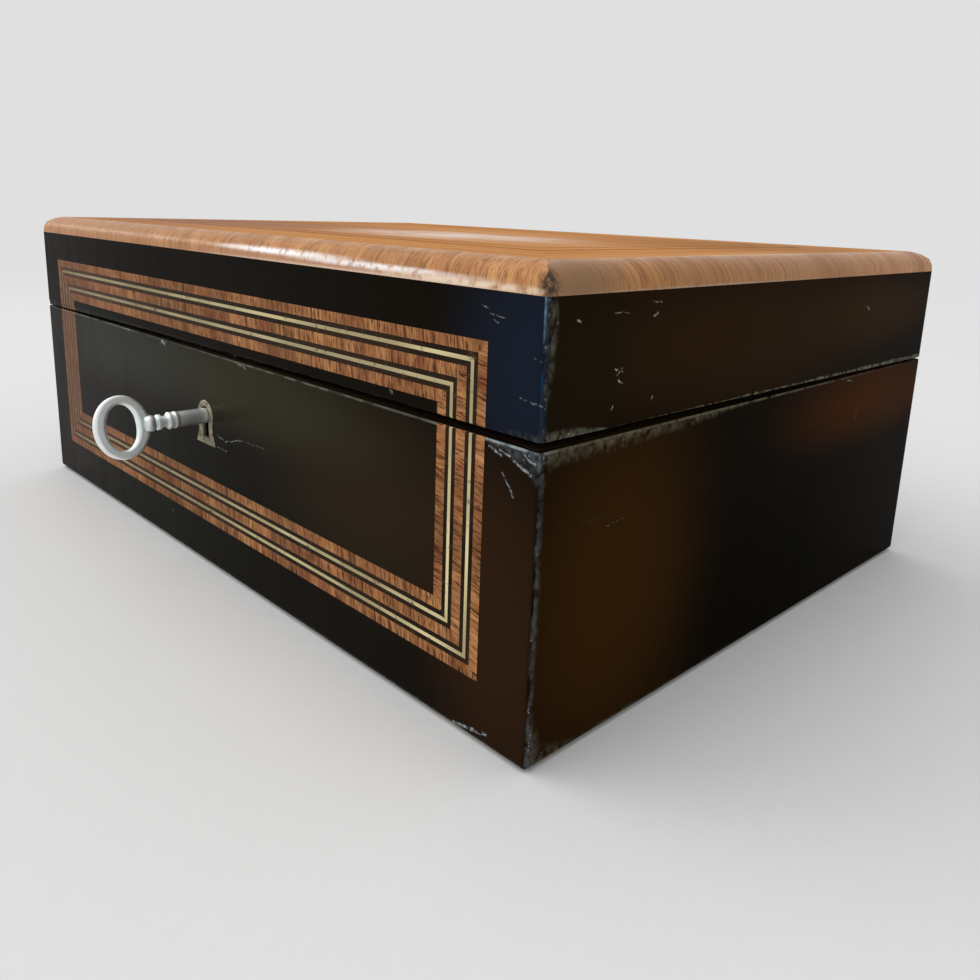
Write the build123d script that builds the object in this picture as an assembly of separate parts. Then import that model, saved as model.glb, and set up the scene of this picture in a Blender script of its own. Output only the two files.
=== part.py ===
from build123d import *
import math
import os

# An antique ebonised sewing box: a veneered case with a hinged lid, an inlaid front,
# a box lock with its key, and a lift-out tray of compartments.
# Frame: X runs along the front, Y from the front to the back, Z up.
# The origin lies on the table, under the middle of the case. Sizes are in millimetres.

# Driving sizes of the box
width = 280.0
depth = 194.0
case_height = 70.7
overall_height = 107.0
front_gap = 1.8
back_gap = 0.5
board = 7.5
veneer = 1.5
liner = 1.5
baize = 0.8
bottom_thickness = 6.0
bottom_rebate = 4.0
floor_lining = 0.8
corner_radius = 1.2
edge_radius = 0.5

# Lid top: a crossbanded edge moulding round a veneered panel with two dark lines
moulding_width = 7.0
moulding_height = 6.3
moulding_flat = 0.8
top_veneer = 0.8
top_step = 2.5
border_inset = 32.0
outer_line = 1.2
top_band = 8.8
inner_line = 0.8

# Inlaid frame on the front, in front view, measured at its outer edge
inlay_half_width = 124.6
inlay_bottom = 15.2
inlay_margin = 10.3
inlay_depth = 1.0
pale_line = 0.95
dark_line = 1.2
outer_string_inset = 4.3
inner_string_inset = 10.5
inlay_width = 15.0

# Lift-out tray and the ledges that carry it
ledge_width = 6.0
ledge_height = 6.0
tray_clearance = 0.5
tray_wall = 3.0
tray_bottom = 2.5
tray_headroom = 2.0
tray_height = 22.7
divider = 2.5
divider_drop = 2.2
centre_column = 88.0
pincushion_length = 64.0
soft_gap = 0.3
pincushion_crown = 3.0
pull_width = 14.0
pull_thickness = 0.8
pull_rise = 3.0

# Padded lining of the lid
pad_margin = 2.5
pad_thickness = 7.0

# Lock, seen from the front; the key's axis is the reference
key_drop = 20.1
lock_width = 46.0
lock_flange = 5.0
lock_cover = 1.9
lock_cap = 0.8
lock_rim = 1.2
selvage = 1.2
play = 0.3
running = 0.05
bit_reach = 5.9
bit_thickness = 2.2
bit_engagement = 1.1
curtain_radius = 5.4
curtain_thickness = 1.25
curtain_boss = 4.2
bolt_thickness = 1.8
bolt_height = 4.9
bolt_throw = 5.0
finger_height = 2.2
post_width = 3.0
stud_radius = 1.0
stud_spread = 12.0
eye_spread = 11.0
eye_thickness = 1.8
eye_depth = 4.0
eye_wall = 1.4
spring_thickness = 0.4
drill_pin_radius = 1.2

# Key
shank_radius = 2.45
bow_distance = 25.8
bow_width = 15.8
bow_height = 18.8
bow_side = 3.0
bow_band = 2.3
bow_thickness = 2.3
bow_rounding = 0.6
bow_lean = 14.0
neck_radius = 1.8
collar_radius = 2.7
collar_distance = 10.6
collar_length = 1.1
collar_gap = 0.7
bore_depth = 14.0
ward_half = 0.4
ward_depth = 1.8
keyhole_gap = 1.0
keyhole_ease = 0.5

# Escutcheon, a brass keyhole shape let into the front
escutcheon_radius = 4.85
escutcheon_waist = 4.3
escutcheon_skirt = 6.25
escutcheon_drop = 9.2
escutcheon_proud = 0.3
escutcheon_depth = 1.0

# Stop hinges, with their pins on the plane of the back
hinge_spread = 80.0
hinge_length = 36.0
hinge_knuckles = 5
hinge_barrel = 1.9
hinge_pin = 0.9
hinge_leaf = 1.2
hinge_leaf_reach = 8.4
hinge_heel = 3.0
lid_stop_angle = 101.0
knuckle_gap = 0.1

# Wood screws
screw_radius = 0.9
screw_head = 1.7
screw_length = 8.0
screw_slot = 0.4

# Planes worked out from the sizes above
half_w = width / 2
half_d = depth / 2
board_x = half_w - veneer
board_y = half_d - veneer
inner_x = board_x - board
inner_y = board_y - board
liner_x = inner_x - liner
liner_y = inner_y - liner
case_foot = baize
floor_z = case_foot + bottom_thickness
lid_side_top = overall_height - moulding_height
inlay_top = lid_side_top - inlay_margin
tray_top = case_height - tray_headroom
ledge_top = tray_top - tray_height
lid_front_z = case_height + front_gap
lid_back_z = case_height + back_gap
panel_x = half_w - moulding_width
panel_y = half_d - moulding_width
panel_top = overall_height - top_veneer
lid_ceiling = lid_side_top - top_step
far = 2 * (width + depth)


def block(x0, x1, y0, y1, z0, z1):
    """A box between two corners."""
    return Pos((x0 + x1) / 2, (y0 + y1) / 2, (z0 + z1) / 2) * Box(x1 - x0, y1 - y0, z1 - z0)


def prism_x(points, x0, x1):
    """An outline of (y, z) points, extruded from x0 to x1."""
    return extrude(Plane.YZ.offset(x0) * make_face(Polyline(*points, close=True)), x1 - x0)


def prism_y(points, y0, y1):
    """An outline of (x, z) points, extruded from y0 to y1."""
    face = Plane.XZ.offset(-y0) * make_face(Polyline(*points, close=True))
    return extrude(face, amount=y1 - y0, dir=(0, 1, 0))


def prism_z(points, z0, z1):
    """An outline of (x, y) points, extruded from z0 to z1."""
    return extrude(Plane.XY.offset(z0) * make_face(Polyline(*points, close=True)), z1 - z0)


def rod_x(radius, y, z, x0, x1):
    """A round rod along X."""
    return Pos((x0 + x1) / 2, y, z) * Rot(0, 90, 0) * Cylinder(radius, x1 - x0)


def rod_y(radius, x, z, y0, y1):
    """A round rod along Y."""
    return Pos(x, (y0 + y1) / 2, z) * Rot(90, 0, 0) * Cylinder(radius, y1 - y0)


def solids_of(*shapes):
    """One node of separate solids."""
    return Compound([solid for shape in shapes for solid in shape.solids()])


def lid_plane(y):
    """Height of the lid's underside, which lies a little open at the front."""
    return lid_back_z + (lid_front_z - lid_back_z) * (half_d - y) / depth


above_joint = prism_x(
    [(-depth, lid_plane(-depth)), (depth, lid_plane(depth)), (depth, far), (-depth, far)], -width, width
)
below_joint = prism_x(
    [(-depth, lid_plane(-depth)), (depth, lid_plane(depth)), (depth, -far), (-depth, -far)], -width, width
)


# Outer form of the case and of the lid's sides, with their worn arrises
def outer_form(z0, z1):
    return extrude(Plane.XY.offset(z0) * RectangleRounded(width, depth, corner_radius), z1 - z0)


case_form = outer_form(case_foot, case_height)
case_form = fillet(case_form.faces().sort_by(Axis.Z)[-1].edges(), edge_radius)
case_form = fillet(case_form.faces().sort_by(Axis.Z)[0].edges(), corner_radius)
lid_form = outer_form(case_height, lid_side_top) - below_joint
lid_form = fillet(lid_form.faces().sort_by(Axis.Z)[0].edges(), edge_radius)


# Screws: a countersunk head with a slot, and the plain shape that its hole takes
def screw_shape(slotted):
    """A screw that stands with its head's face at the origin and its point down."""
    head_depth = screw_head - screw_radius
    shape = Pos(0, 0, -head_depth / 2) * Cone(screw_radius, screw_head, head_depth)
    shape += Pos(0, 0, -screw_length / 2) * Cylinder(screw_radius, screw_length)
    if slotted:
        shape -= Pos(0, 0, -screw_slot / 2) * Box(2 * screw_head, screw_slot, screw_slot)
    return shape


def screws(places, slotted=True):
    """Copies of the screw at a list of locations."""
    return [place * screw_shape(slotted) for place in places]


# Hinges
hinge_y = half_d
hinge_z = (case_height + lid_back_z) / 2
leaf_front = half_d - hinge_leaf_reach
hinge_centres = (-hinge_spread, hinge_spread)
pin_bore = hinge_pin + running
barrel_clear = hinge_barrel + running
wood_clear = hinge_barrel + play
screw_row = (leaf_front + half_d - hinge_barrel) / 2
screw_places = [centre + step * hinge_length / 3 for centre in hinge_centres for step in (-1, 0, 1)]
case_hinge_places = [Pos(x, screw_row, case_height) for x in screw_places]
lid_hinge_places = [Pos(x, screw_row, lid_back_z) * Rot(180, 0, 0) for x in screw_places]


def heel(side):
    """Cross-section of the stop along a leaf, below the pin for side -1 and above it for 1."""
    start = math.radians(lid_stop_angle / 2)
    angles = [start, (start + math.pi / 2) / 2, math.pi / 2]
    rim = [(hinge_y + hinge_heel * math.cos(a), hinge_z + side * hinge_heel * math.sin(a)) for a in angles]
    return [(hinge_y, hinge_z)] + rim


def hinge_leaf_at(centre, side):
    """One leaf with its knuckles: side -1 is let into the case, side 1 into the lid."""
    left = centre - hinge_length / 2
    right = centre + hinge_length / 2
    step = hinge_length / hinge_knuckles
    flat = case_height if side < 0 else lid_back_z
    plate_z = sorted((flat, flat + side * hinge_leaf))
    leaf = block(left, right, leaf_front, hinge_y, *plate_z) + prism_x(heel(side), left, right)
    for index in range(hinge_knuckles):
        x0 = left + index * step
        own = (index % 2 == 0) == (side < 0)
        if own:
            leaf += rod_x(hinge_barrel, hinge_y, hinge_z, x0 + knuckle_gap / 2, x0 + step - knuckle_gap / 2)
        else:
            leaf -= rod_x(barrel_clear, hinge_y, hinge_z, x0 - knuckle_gap / 2, x0 + step + knuckle_gap / 2)
    leaf -= rod_x(pin_bore, hinge_y, hinge_z, left - 1, right + 1)
    places = case_hinge_places if side < 0 else lid_hinge_places
    for hole in screws(places, slotted=False):
        leaf -= hole
    return leaf


def hinge_room(side):
    """What the hinges take out of the wood."""
    flat = case_height if side < 0 else lid_back_z
    plate_z = sorted((flat - side * far, flat + side * hinge_leaf))
    rooms = []
    for centre in hinge_centres:
        left = centre - hinge_length / 2
        right = centre + hinge_length / 2
        rooms.append(block(left, right, leaf_front, hinge_y, *plate_z))
        rooms.append(rod_x(wood_clear, hinge_y, hinge_z, left - play, right + play))
    return rooms


# Lock, in depth from the front: cover wood, cap, curtain, bolt and back plate
key_z = case_height - key_drop
cap_front = -board_y + lock_cover
cap_back = cap_front + lock_cap
plate_front = -inner_y
plate_back = -liner_y
curtain_front = cap_back + running
curtain_back = curtain_front + curtain_thickness
bolt_front = curtain_back + play
bolt_back = bolt_front + bolt_thickness
bolt_mid = (bolt_front + bolt_back) / 2
lock_half = lock_width / 2
plate_half = lock_half + lock_flange
lock_foot = key_z - bit_reach - 2.0
selvage_foot = case_height - selvage
bar_foot = key_z + bit_reach - bit_engagement
bar_top = bar_foot + bolt_height
eye_foot = bar_top + play
eye_hole_foot = eye_foot + eye_wall
finger_foot = eye_hole_foot + play
finger_top = finger_foot + finger_height
eye_hole_top = finger_top + play
stud_z = (bar_top + key_z + bit_reach + play) / 2
barrel_tip = plate_front - 2 * play
bit_back = barrel_tip
bit_front = curtain_back - curtain_thickness / 2
keyhole_radius = shank_radius + keyhole_ease
link_z = lid_plane(bolt_mid)
flange_mid = lock_half + lock_flange / 2
selvage_places = [Pos(x, bolt_mid, case_height) for x in (-flange_mid, flange_mid)]
link_places = [Pos(x, bolt_mid, link_z) * Rot(180, 0, 0) for x in (-flange_mid, flange_mid)]
flange_places = [Pos(x, plate_back, key_z) * Rot(-90, 0, 0) for x in (-flange_mid, flange_mid)]


def keyhole(round_radius, gap, y0, y1):
    """A keyhole-shaped cutter, for a barrel of round_radius and the bit below it."""
    half_slot = bit_thickness / 2 + gap
    return rod_y(round_radius, 0, key_z, y0, y1) + block(
        -half_slot, half_slot, y0, y1, key_z - bit_reach - gap, key_z
    )


def lock_case_shape():
    """Back plate, selvage and rim of the lock, with the two studs that guide the bolt."""
    shape = block(-plate_half, plate_half, plate_front, plate_back, lock_foot, case_height)
    shape += block(-plate_half, plate_half, cap_front, plate_back, selvage_foot, case_height)
    rim = block(-lock_half, lock_half, cap_back, plate_front, lock_foot, selvage_foot)
    rim -= block(
        -lock_half + lock_rim, lock_half - lock_rim, cap_back, plate_front, lock_foot + lock_rim, selvage_foot
    )
    shape += rim
    for x in (-stud_spread, stud_spread):
        shape += rod_y(2 * stud_radius, x, stud_z, bolt_back + running, plate_front)
        shape += rod_y(stud_radius, x, stud_z, bolt_front, plate_front)
    slot_x = eye_thickness / 2 + play
    slot_y = eye_depth / 2 + 2 * play
    slot = block(-slot_x, slot_x, bolt_mid - slot_y, bolt_mid + slot_y, selvage_foot, case_height)
    for x in (-eye_spread, eye_spread):
        shape -= Pos(x, 0, 0) * slot
    for hole in screws(selvage_places + flange_places, slotted=False):
        shape -= hole
    return shape


def lock_cap_shape():
    """Front plate of the lock, bored for the curtain's boss and slotted for the bit."""
    cap = block(-lock_half, lock_half, cap_front, cap_back, lock_foot, selvage_foot)
    return cap - keyhole(curtain_boss + running, play, cap_front, cap_back)


def curtain_shape():
    """The disc that turns with the key and shuts the keyhole, with its boss in the cap."""
    disc = rod_y(curtain_radius, 0, key_z, curtain_front, curtain_back)
    disc += rod_y(curtain_boss, 0, key_z, cap_front, curtain_front)
    return disc - keyhole(shank_radius + running, running, cap_front, curtain_back)


def bolt_shape():
    """Sliding bar with a notch for the bit, two guide slots and two hooked fingers."""
    reach = bit_reach + play
    swing = math.sqrt(reach**2 - (bit_reach - bit_engagement) ** 2) + bit_thickness / 2
    early = bolt_throw * 0.35
    late = bolt_throw * 0.65
    left = -eye_spread - eye_thickness / 2 - bolt_throw - play - post_width
    right = stud_spread + stud_radius + 2 * play + 1.0
    bar = block(left, right, bolt_front, bolt_back, bar_foot, bar_top)
    bar -= block(-swing - late, swing - early, bolt_front, bolt_back, bar_foot, key_z + reach + play)
    slot_z = stud_radius + running
    for x in (-stud_spread, stud_spread):
        slot = block(x - bolt_throw, x, bolt_front, bolt_back, stud_z - slot_z, stud_z + slot_z)
        slot += rod_y(slot_z, x - bolt_throw, stud_z, bolt_front, bolt_back)
        slot += rod_y(slot_z, x, stud_z, bolt_front, bolt_back)
        bar -= slot
    for x in (-eye_spread, eye_spread):
        tip = x - eye_thickness / 2 - play
        root = tip - bolt_throw
        bar += block(root - post_width, root, bolt_front, bolt_back, bar_top, finger_top)
        bar += block(root, tip, bolt_front, bolt_back, finger_foot, finger_top)
    return bar


def bolt_spring_shape():
    """Bow spring on the bar, which presses up under the selvage."""
    right = eye_spread - eye_thickness / 2 - play - bolt_throw - post_width - 1.0
    left = -eye_spread + eye_thickness / 2 + 1.0
    crown = selvage_foot - 0.2
    mid = (left + right) / 2
    t = spring_thickness
    outer = ThreePointArc((left, bar_top), (mid, crown), (right, bar_top))
    inner = ThreePointArc((right - t, bar_top), (mid, crown - t), (left + t, bar_top))
    ends = Line((right, bar_top), (right - t, bar_top)) + Line((left + t, bar_top), (left, bar_top))
    face = Plane.XZ.offset(-bolt_front - running) * make_face(outer + inner + ends)
    return extrude(face, amount=bolt_thickness - 2 * running, dir=(0, 1, 0))


def link_plate_shape():
    """Plate under the lid's front edge, with the two eyes that drop into the lock."""
    plate = block(-plate_half, plate_half, cap_front, plate_back, link_z, link_z + selvage)
    half_hole = bolt_thickness / 2 + play
    for x in (-eye_spread, eye_spread):
        x0 = x - eye_thickness / 2
        x1 = x + eye_thickness / 2
        plate += block(x0, x1, bolt_mid - eye_depth / 2, bolt_mid + eye_depth / 2, eye_foot, link_z)
        plate -= block(x0, x1, bolt_mid - half_hole, bolt_mid + half_hole, eye_hole_foot, eye_hole_top)
    for hole in screws(link_places, slotted=False):
        plate -= hole
    return plate


def key_bow(bow_y):
    """Flat oval ring with rounded edges, which leans a little from the plane of the bit."""
    side = Plane(origin=(0, bow_y, key_z), x_dir=(0, 1, 0), z_dir=(1, 0, 0))
    outline = Ellipse(bow_width / 2, bow_height / 2)
    opening = Ellipse(bow_width / 2 - bow_side, bow_height / 2 - bow_band)
    bow = extrude(side * (outline - opening), amount=bow_thickness / 2, both=True)
    sides = bow.faces().sort_by(Axis.X)
    bow = fillet(sides[0].edges() + sides[-1].edges(), radius=min(bow_rounding, bow_thickness * 0.4))
    return bow.rotate(Axis((0, bow_y, key_z), (0, 1, 0)), -bow_lean)


def key_shape():
    """Barrel key with an oval bow, turned collars and a notched bit."""
    bow_y = -half_d - bow_distance
    neck_y = bow_y + (bow_width - bow_side) / 2
    collar_y = -half_d - collar_distance
    ring_collar_y = (neck_y + collar_y) / 2
    key = key_bow(bow_y)
    key += rod_y(neck_radius, 0, key_z, neck_y, ring_collar_y)
    key += rod_y(shank_radius, 0, key_z, ring_collar_y, barrel_tip)
    twin = (collar_length + collar_gap) / 2
    for y in (ring_collar_y, collar_y - twin, collar_y + twin):
        key += rod_y(collar_radius, 0, key_z, y - collar_length / 2, y + collar_length / 2)
    bit_half = bit_thickness / 2
    bit_foot = key_z - bit_reach
    key += block(-bit_half, bit_half, bit_front, bit_back, bit_foot, key_z)
    notch = (bit_front + bit_back) / 2
    key -= block(-bit_half, bit_half, notch - ward_half, notch + ward_half, bit_foot, bit_foot + ward_depth)
    return key - rod_y(drill_pin_radius + running, 0, key_z, barrel_tip - bore_depth, barrel_tip)


def escutcheon_form(y0, y1):
    """Outline of the escutcheon as a solid, round above and flared below."""
    skirt = [
        (-escutcheon_waist, key_z),
        (escutcheon_waist, key_z),
        (escutcheon_waist, key_z - escutcheon_radius),
        (escutcheon_skirt, key_z - escutcheon_drop),
        (-escutcheon_skirt, key_z - escutcheon_drop),
        (-escutcheon_waist, key_z - escutcheon_radius),
    ]
    return rod_y(escutcheon_radius, 0, key_z, y0, y1) + prism_y(skirt, y0, y1)


# Inlaid frame: mitred strips between two insets from its outer edge
def frame_strips(start, end):
    """Bottom, top, left and right strip of one line of the frame."""
    x0 = inlay_half_width - start
    x1 = inlay_half_width - end
    low0 = inlay_bottom + start
    low1 = inlay_bottom + end
    top0 = inlay_top - start
    top1 = inlay_top - end
    outlines = [
        [(-x0, low0), (x0, low0), (x1, low1), (-x1, low1)],
        [(-x0, top0), (x0, top0), (x1, top1), (-x1, top1)],
        [(-x0, low0), (-x1, low1), (-x1, top1), (-x0, top0)],
        [(x0, low0), (x1, low1), (x1, top1), (x0, top0)],
    ]
    return [prism_y(outline, -half_d, -half_d + inlay_depth) for outline in outlines]


def cut_to(form, strips):
    """What of some strips lies inside a form."""
    kept = [form & strip for strip in strips]
    return solids_of(*[piece for piece in kept if piece.volume > 0.01])


string_half = pale_line / 2 + dark_line
crossband_insets = [
    (0.0, outer_string_inset - string_half),
    (outer_string_inset + string_half, inner_string_inset - string_half),
    (inner_string_inset + string_half, inlay_width),
]
string_centres = (outer_string_inset, inner_string_inset)
pale_insets = [(c - pale_line / 2, c + pale_line / 2) for c in string_centres]
dark_insets = [(c - string_half, c - pale_line / 2) for c in string_centres]
dark_insets += [(c + pale_line / 2, c + string_half) for c in string_centres]
inlay_groove = frame_strips(0.0, inlay_width)


def inlay_nodes(place, form):
    """Crossbanding and lines of the inlaid frame that lie on the case or on the lid."""
    nodes = {}
    for name, spans in (
        ("crossbanding", crossband_insets), ("pale_stringing", pale_insets), ("dark_stringing", dark_insets)
    ):
        strips = [strip for span in spans for strip in frame_strips(*span)]
        nodes[f"{place}_{name}"] = cut_to(form, strips)
    return nodes


def carve(shape, cutters):
    """A shape less each of its cutters."""
    for cutter in cutters:
        shape -= cutter
    return shape


def case_nodes():
    """Boards, veneers, linings, lock and hinge leaves that stay on the table."""
    keyway = keyhole(keyhole_radius, keyhole_gap, -half_d - 1, cap_front)
    lock_room = [
        block(-lock_half, lock_half, cap_front, plate_front, lock_foot, case_height),
        block(-plate_half, plate_half, cap_front, plate_back, selvage_foot, case_height),
    ]
    lock_holes = screws(selvage_places + flange_places, slotted=False)
    leaf_room = hinge_room(-1)
    leaf_holes = screws(case_hinge_places, slotted=False)
    bottom = block(
        -inner_x - bottom_rebate, inner_x + bottom_rebate, -inner_y - bottom_rebate, inner_y + bottom_rebate,
        case_foot, floor_z,
    )
    front = block(-board_x, board_x, -board_y, -inner_y, case_foot, case_height) - bottom
    back = block(-board_x, board_x, inner_y, board_y, case_foot, case_height) - bottom
    end = block(inner_x, board_x, -inner_y, inner_y, case_foot, case_height) - bottom
    front_veneer = case_form & block(-half_w, half_w, -half_d, -board_y, 0, far)
    back_veneer = case_form & block(-half_w, half_w, board_y, half_d, 0, far)
    end_veneer = case_form & block(board_x, half_w, -board_y, board_y, 0, far)
    front_liner = block(-inner_x, inner_x, -inner_y, -liner_y, floor_z, far) - above_joint
    front_liner -= block(-plate_half, plate_half, plate_front, plate_back, lock_foot, far)
    back_liner = block(-inner_x, inner_x, liner_y, inner_y, floor_z, far) - above_joint
    end_liner = block(liner_x, inner_x, -liner_y, liner_y, floor_z, far) - above_joint
    escutcheon_seat = escutcheon_form(-half_d - 1, -half_d + escutcheon_depth)
    escutcheon = escutcheon_form(-half_d - escutcheon_proud, -half_d + escutcheon_depth)
    ledge_foot = ledge_top - ledge_height
    ledge_y = liner_y - ledge_width
    nodes = {
        "case_front_board": carve(front, lock_room + lock_holes + [keyway]),
        "case_back_board": carve(back, leaf_room + leaf_holes),
        "case_left_board": mirror(end, Plane.YZ),
        "case_right_board": end,
        "bottom_board": bottom,
        "base_baize": block(-board_x, board_x, -board_y, board_y, 0, baize),
        "case_front_veneer": carve(front_veneer, inlay_groove + [escutcheon_seat, keyway]),
        "case_back_veneer": carve(back_veneer, leaf_room),
        "case_left_veneer": mirror(end_veneer, Plane.YZ),
        "case_right_veneer": end_veneer,
        "case_liners": solids_of(front_liner, back_liner, end_liner, mirror(end_liner, Plane.YZ)),
        "floor_lining": block(-liner_x, liner_x, -liner_y, liner_y, floor_z, floor_z + floor_lining),
        "tray_ledges": solids_of(
            block(-liner_x, liner_x, -liner_y, -ledge_y, ledge_foot, ledge_top),
            block(-liner_x, liner_x, ledge_y, liner_y, ledge_foot, ledge_top),
            block(-liner_x, -liner_x + ledge_width, -ledge_y, ledge_y, ledge_foot, ledge_top),
            block(liner_x - ledge_width, liner_x, -ledge_y, ledge_y, ledge_foot, ledge_top),
        ),
        "escutcheon": escutcheon - keyway,
        "lock_case": lock_case_shape(),
        "lock_cap": lock_cap_shape(),
        "lock_drill_pin": rod_y(drill_pin_radius, 0, key_z, cap_front, plate_front),
        "case_screws": solids_of(*screws(selvage_places + flange_places + case_hinge_places)),
        "hinge_case_leaves": solids_of(*[hinge_leaf_at(centre, -1) for centre in hinge_centres]),
        "hinge_pins": solids_of(
            *[
                rod_x(hinge_pin, hinge_y, hinge_z, centre - hinge_length / 2, centre + hinge_length / 2)
                for centre in hinge_centres
            ]
        ),
    }
    nodes.update(inlay_nodes("case", case_form))
    return nodes


def moulding_side(long_half, short_half):
    """The front length of the edge moulding for a box of these half sizes, mitred at its ends."""
    inner = short_half - moulding_width
    start = (-short_half, lid_side_top + moulding_flat)
    diagonal = math.sqrt(0.5)
    middle = (
        -inner - moulding_width * diagonal,
        lid_side_top + moulding_flat + (moulding_height - moulding_flat) * diagonal,
    )
    end = (-inner, overall_height)
    outline = ThreePointArc(start, middle, end)
    outline += Polyline(end, (-inner, lid_side_top), (-short_half, lid_side_top), start)
    bar = extrude(Plane.YZ.offset(-long_half) * make_face(outline), 2 * long_half)
    turns = [math.radians(angle) for angle in (0, 22.5, 45)]
    round_x = long_half - corner_radius
    round_y = -short_half + corner_radius
    right = [(round_x + corner_radius * math.sin(a), round_y - corner_radius * math.cos(a)) for a in turns]
    right.append((long_half - moulding_width, -inner))
    left = [(-x, y) for x, y in reversed(right)]
    return bar & prism_z(left + right, lid_side_top, overall_height)


def panel_strips(start, end):
    """Four mitred strips of the top veneer, between two insets from the box's sides."""
    x0 = half_w - start
    x1 = half_w - end
    y0 = half_d - start
    y1 = half_d - end
    front = [(-x0, -y0), (x0, -y0), (x1, -y1), (-x1, -y1)]
    right = [(x0, -y0), (x0, y0), (x1, y1), (x1, -y1)]
    strips = [prism_z(outline, panel_top, overall_height) for outline in (front, right)]
    return strips + [mirror(strips[0], Plane.XZ), mirror(strips[1], Plane.YZ)]


def lid_pad_shape():
    """Padded silk lining under the lid's top, crowned between its edges."""
    x = liner_x - pad_margin
    y = liner_y - pad_margin
    pad = block(-x, x, -y, y, lid_ceiling - pad_thickness, lid_ceiling)
    return fillet(pad.faces().sort_by(Axis.Z)[0].edges(), pad_thickness * 0.8)


def lid_nodes():
    """Everything that swings up with the lid."""
    leaf_room = hinge_room(1)
    leaf_holes = screws(lid_hinge_places, slotted=False)
    link_room = block(-plate_half, plate_half, cap_front, plate_back, 0, link_z + selvage)
    link_holes = screws(link_places, slotted=False)
    front = block(-board_x, board_x, -board_y, -inner_y, 0, lid_side_top) - below_joint
    back = block(-board_x, board_x, inner_y, board_y, 0, lid_side_top) - below_joint
    end = block(inner_x, board_x, -inner_y, inner_y, 0, lid_side_top) - below_joint
    front_veneer = lid_form & block(-half_w, half_w, -half_d, -board_y, 0, far)
    back_veneer = lid_form & block(-half_w, half_w, board_y, half_d, 0, far)
    end_veneer = lid_form & block(board_x, half_w, -board_y, board_y, 0, far)
    front_liner = block(-inner_x, inner_x, -inner_y, -liner_y, 0, lid_ceiling) - below_joint
    back_liner = block(-inner_x, inner_x, liner_y, inner_y, 0, lid_ceiling) - below_joint
    end_liner = block(liner_x, inner_x, -liner_y, liner_y, 0, lid_ceiling) - below_joint
    top_board = block(-panel_x, panel_x, -panel_y, panel_y, lid_side_top, panel_top)
    top_board += block(-inner_x, inner_x, -inner_y, inner_y, lid_ceiling, lid_side_top)
    front_moulding = moulding_side(half_w, half_d)
    side_moulding = Rot(0, 0, 90) * moulding_side(half_d, half_w)
    line_end = border_inset + outer_line
    band_end = line_end + top_band
    field_start = band_end + inner_line
    nodes = {
        "lid_front_board": carve(front, [link_room] + link_holes),
        "lid_back_board": carve(back, leaf_room + leaf_holes),
        "lid_left_board": mirror(end, Plane.YZ),
        "lid_right_board": end,
        "lid_front_veneer": carve(front_veneer, inlay_groove),
        "lid_back_veneer": carve(back_veneer, leaf_room),
        "lid_left_veneer": mirror(end_veneer, Plane.YZ),
        "lid_right_veneer": end_veneer,
        "lid_liners": solids_of(
            carve(front_liner, [link_room]), back_liner, end_liner, mirror(end_liner, Plane.YZ)
        ),
        "lid_top_board": top_board,
        "lid_front_moulding": front_moulding,
        "lid_back_moulding": mirror(front_moulding, Plane.XZ),
        "lid_right_moulding": side_moulding,
        "lid_left_moulding": mirror(side_moulding, Plane.YZ),
        "lid_top_border": solids_of(*panel_strips(moulding_width, border_inset)),
        "lid_top_lines": solids_of(
            *panel_strips(border_inset, line_end), *panel_strips(band_end, field_start)
        ),
        "lid_top_band": solids_of(*panel_strips(line_end, band_end)),
        "lid_top_field": block(
            -half_w + field_start, half_w - field_start, -half_d + field_start, half_d - field_start,
            panel_top, overall_height,
        ),
        "lid_pad": lid_pad_shape(),
        "link_plate": link_plate_shape(),
        "lid_screws": solids_of(*screws(link_places + lid_hinge_places)),
        "hinge_lid_leaves": solids_of(*[hinge_leaf_at(centre, 1) for centre in hinge_centres]),
    }
    nodes.update(inlay_nodes("lid", lid_form))
    return nodes


# Tray planes
tray_x = liner_x - tray_clearance
tray_y = liner_y - tray_clearance
tray_floor = ledge_top + tray_bottom
divider_top = tray_top - divider_drop
tray_in_x = tray_x - tray_wall
tray_in_y = tray_y - tray_wall
column_x = centre_column / 2
cross_spacing = 2 * tray_in_y / 3
pincushion_back = -tray_in_y + pincushion_length


def divider_shapes():
    """Two long dividers, the cross dividers of the side columns and the one behind the pincushion."""
    long_x = column_x + divider
    shapes = [
        block(-long_x, -column_x, -tray_in_y, tray_in_y, tray_floor, divider_top),
        block(column_x, long_x, -tray_in_y, tray_in_y, tray_floor, divider_top),
    ]
    for side in (-1, 1):
        x0, x1 = sorted((side * long_x, side * tray_in_x))
        for step in (-0.5, 0.5):
            y = step * cross_spacing
            shapes.append(block(x0, x1, y - divider / 2, y + divider / 2, tray_floor, divider_top))
    y = pincushion_back
    shapes.append(block(-column_x, column_x, y, y + divider, tray_floor, divider_top))
    return shapes


def pincushion_shape():
    """Velvet cushion that fills the front middle compartment, with a crowned top."""
    x = column_x - soft_gap
    y0 = -tray_in_y + soft_gap
    y1 = pincushion_back - soft_gap
    low = tray_floor + soft_gap
    cushion = block(-x, x, y0, y1, low, tray_top + pincushion_crown)
    cushion = fillet(cushion.faces().sort_by(Axis.Z)[-1].edges(), pincushion_crown * 1.6)
    return cushion


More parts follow.
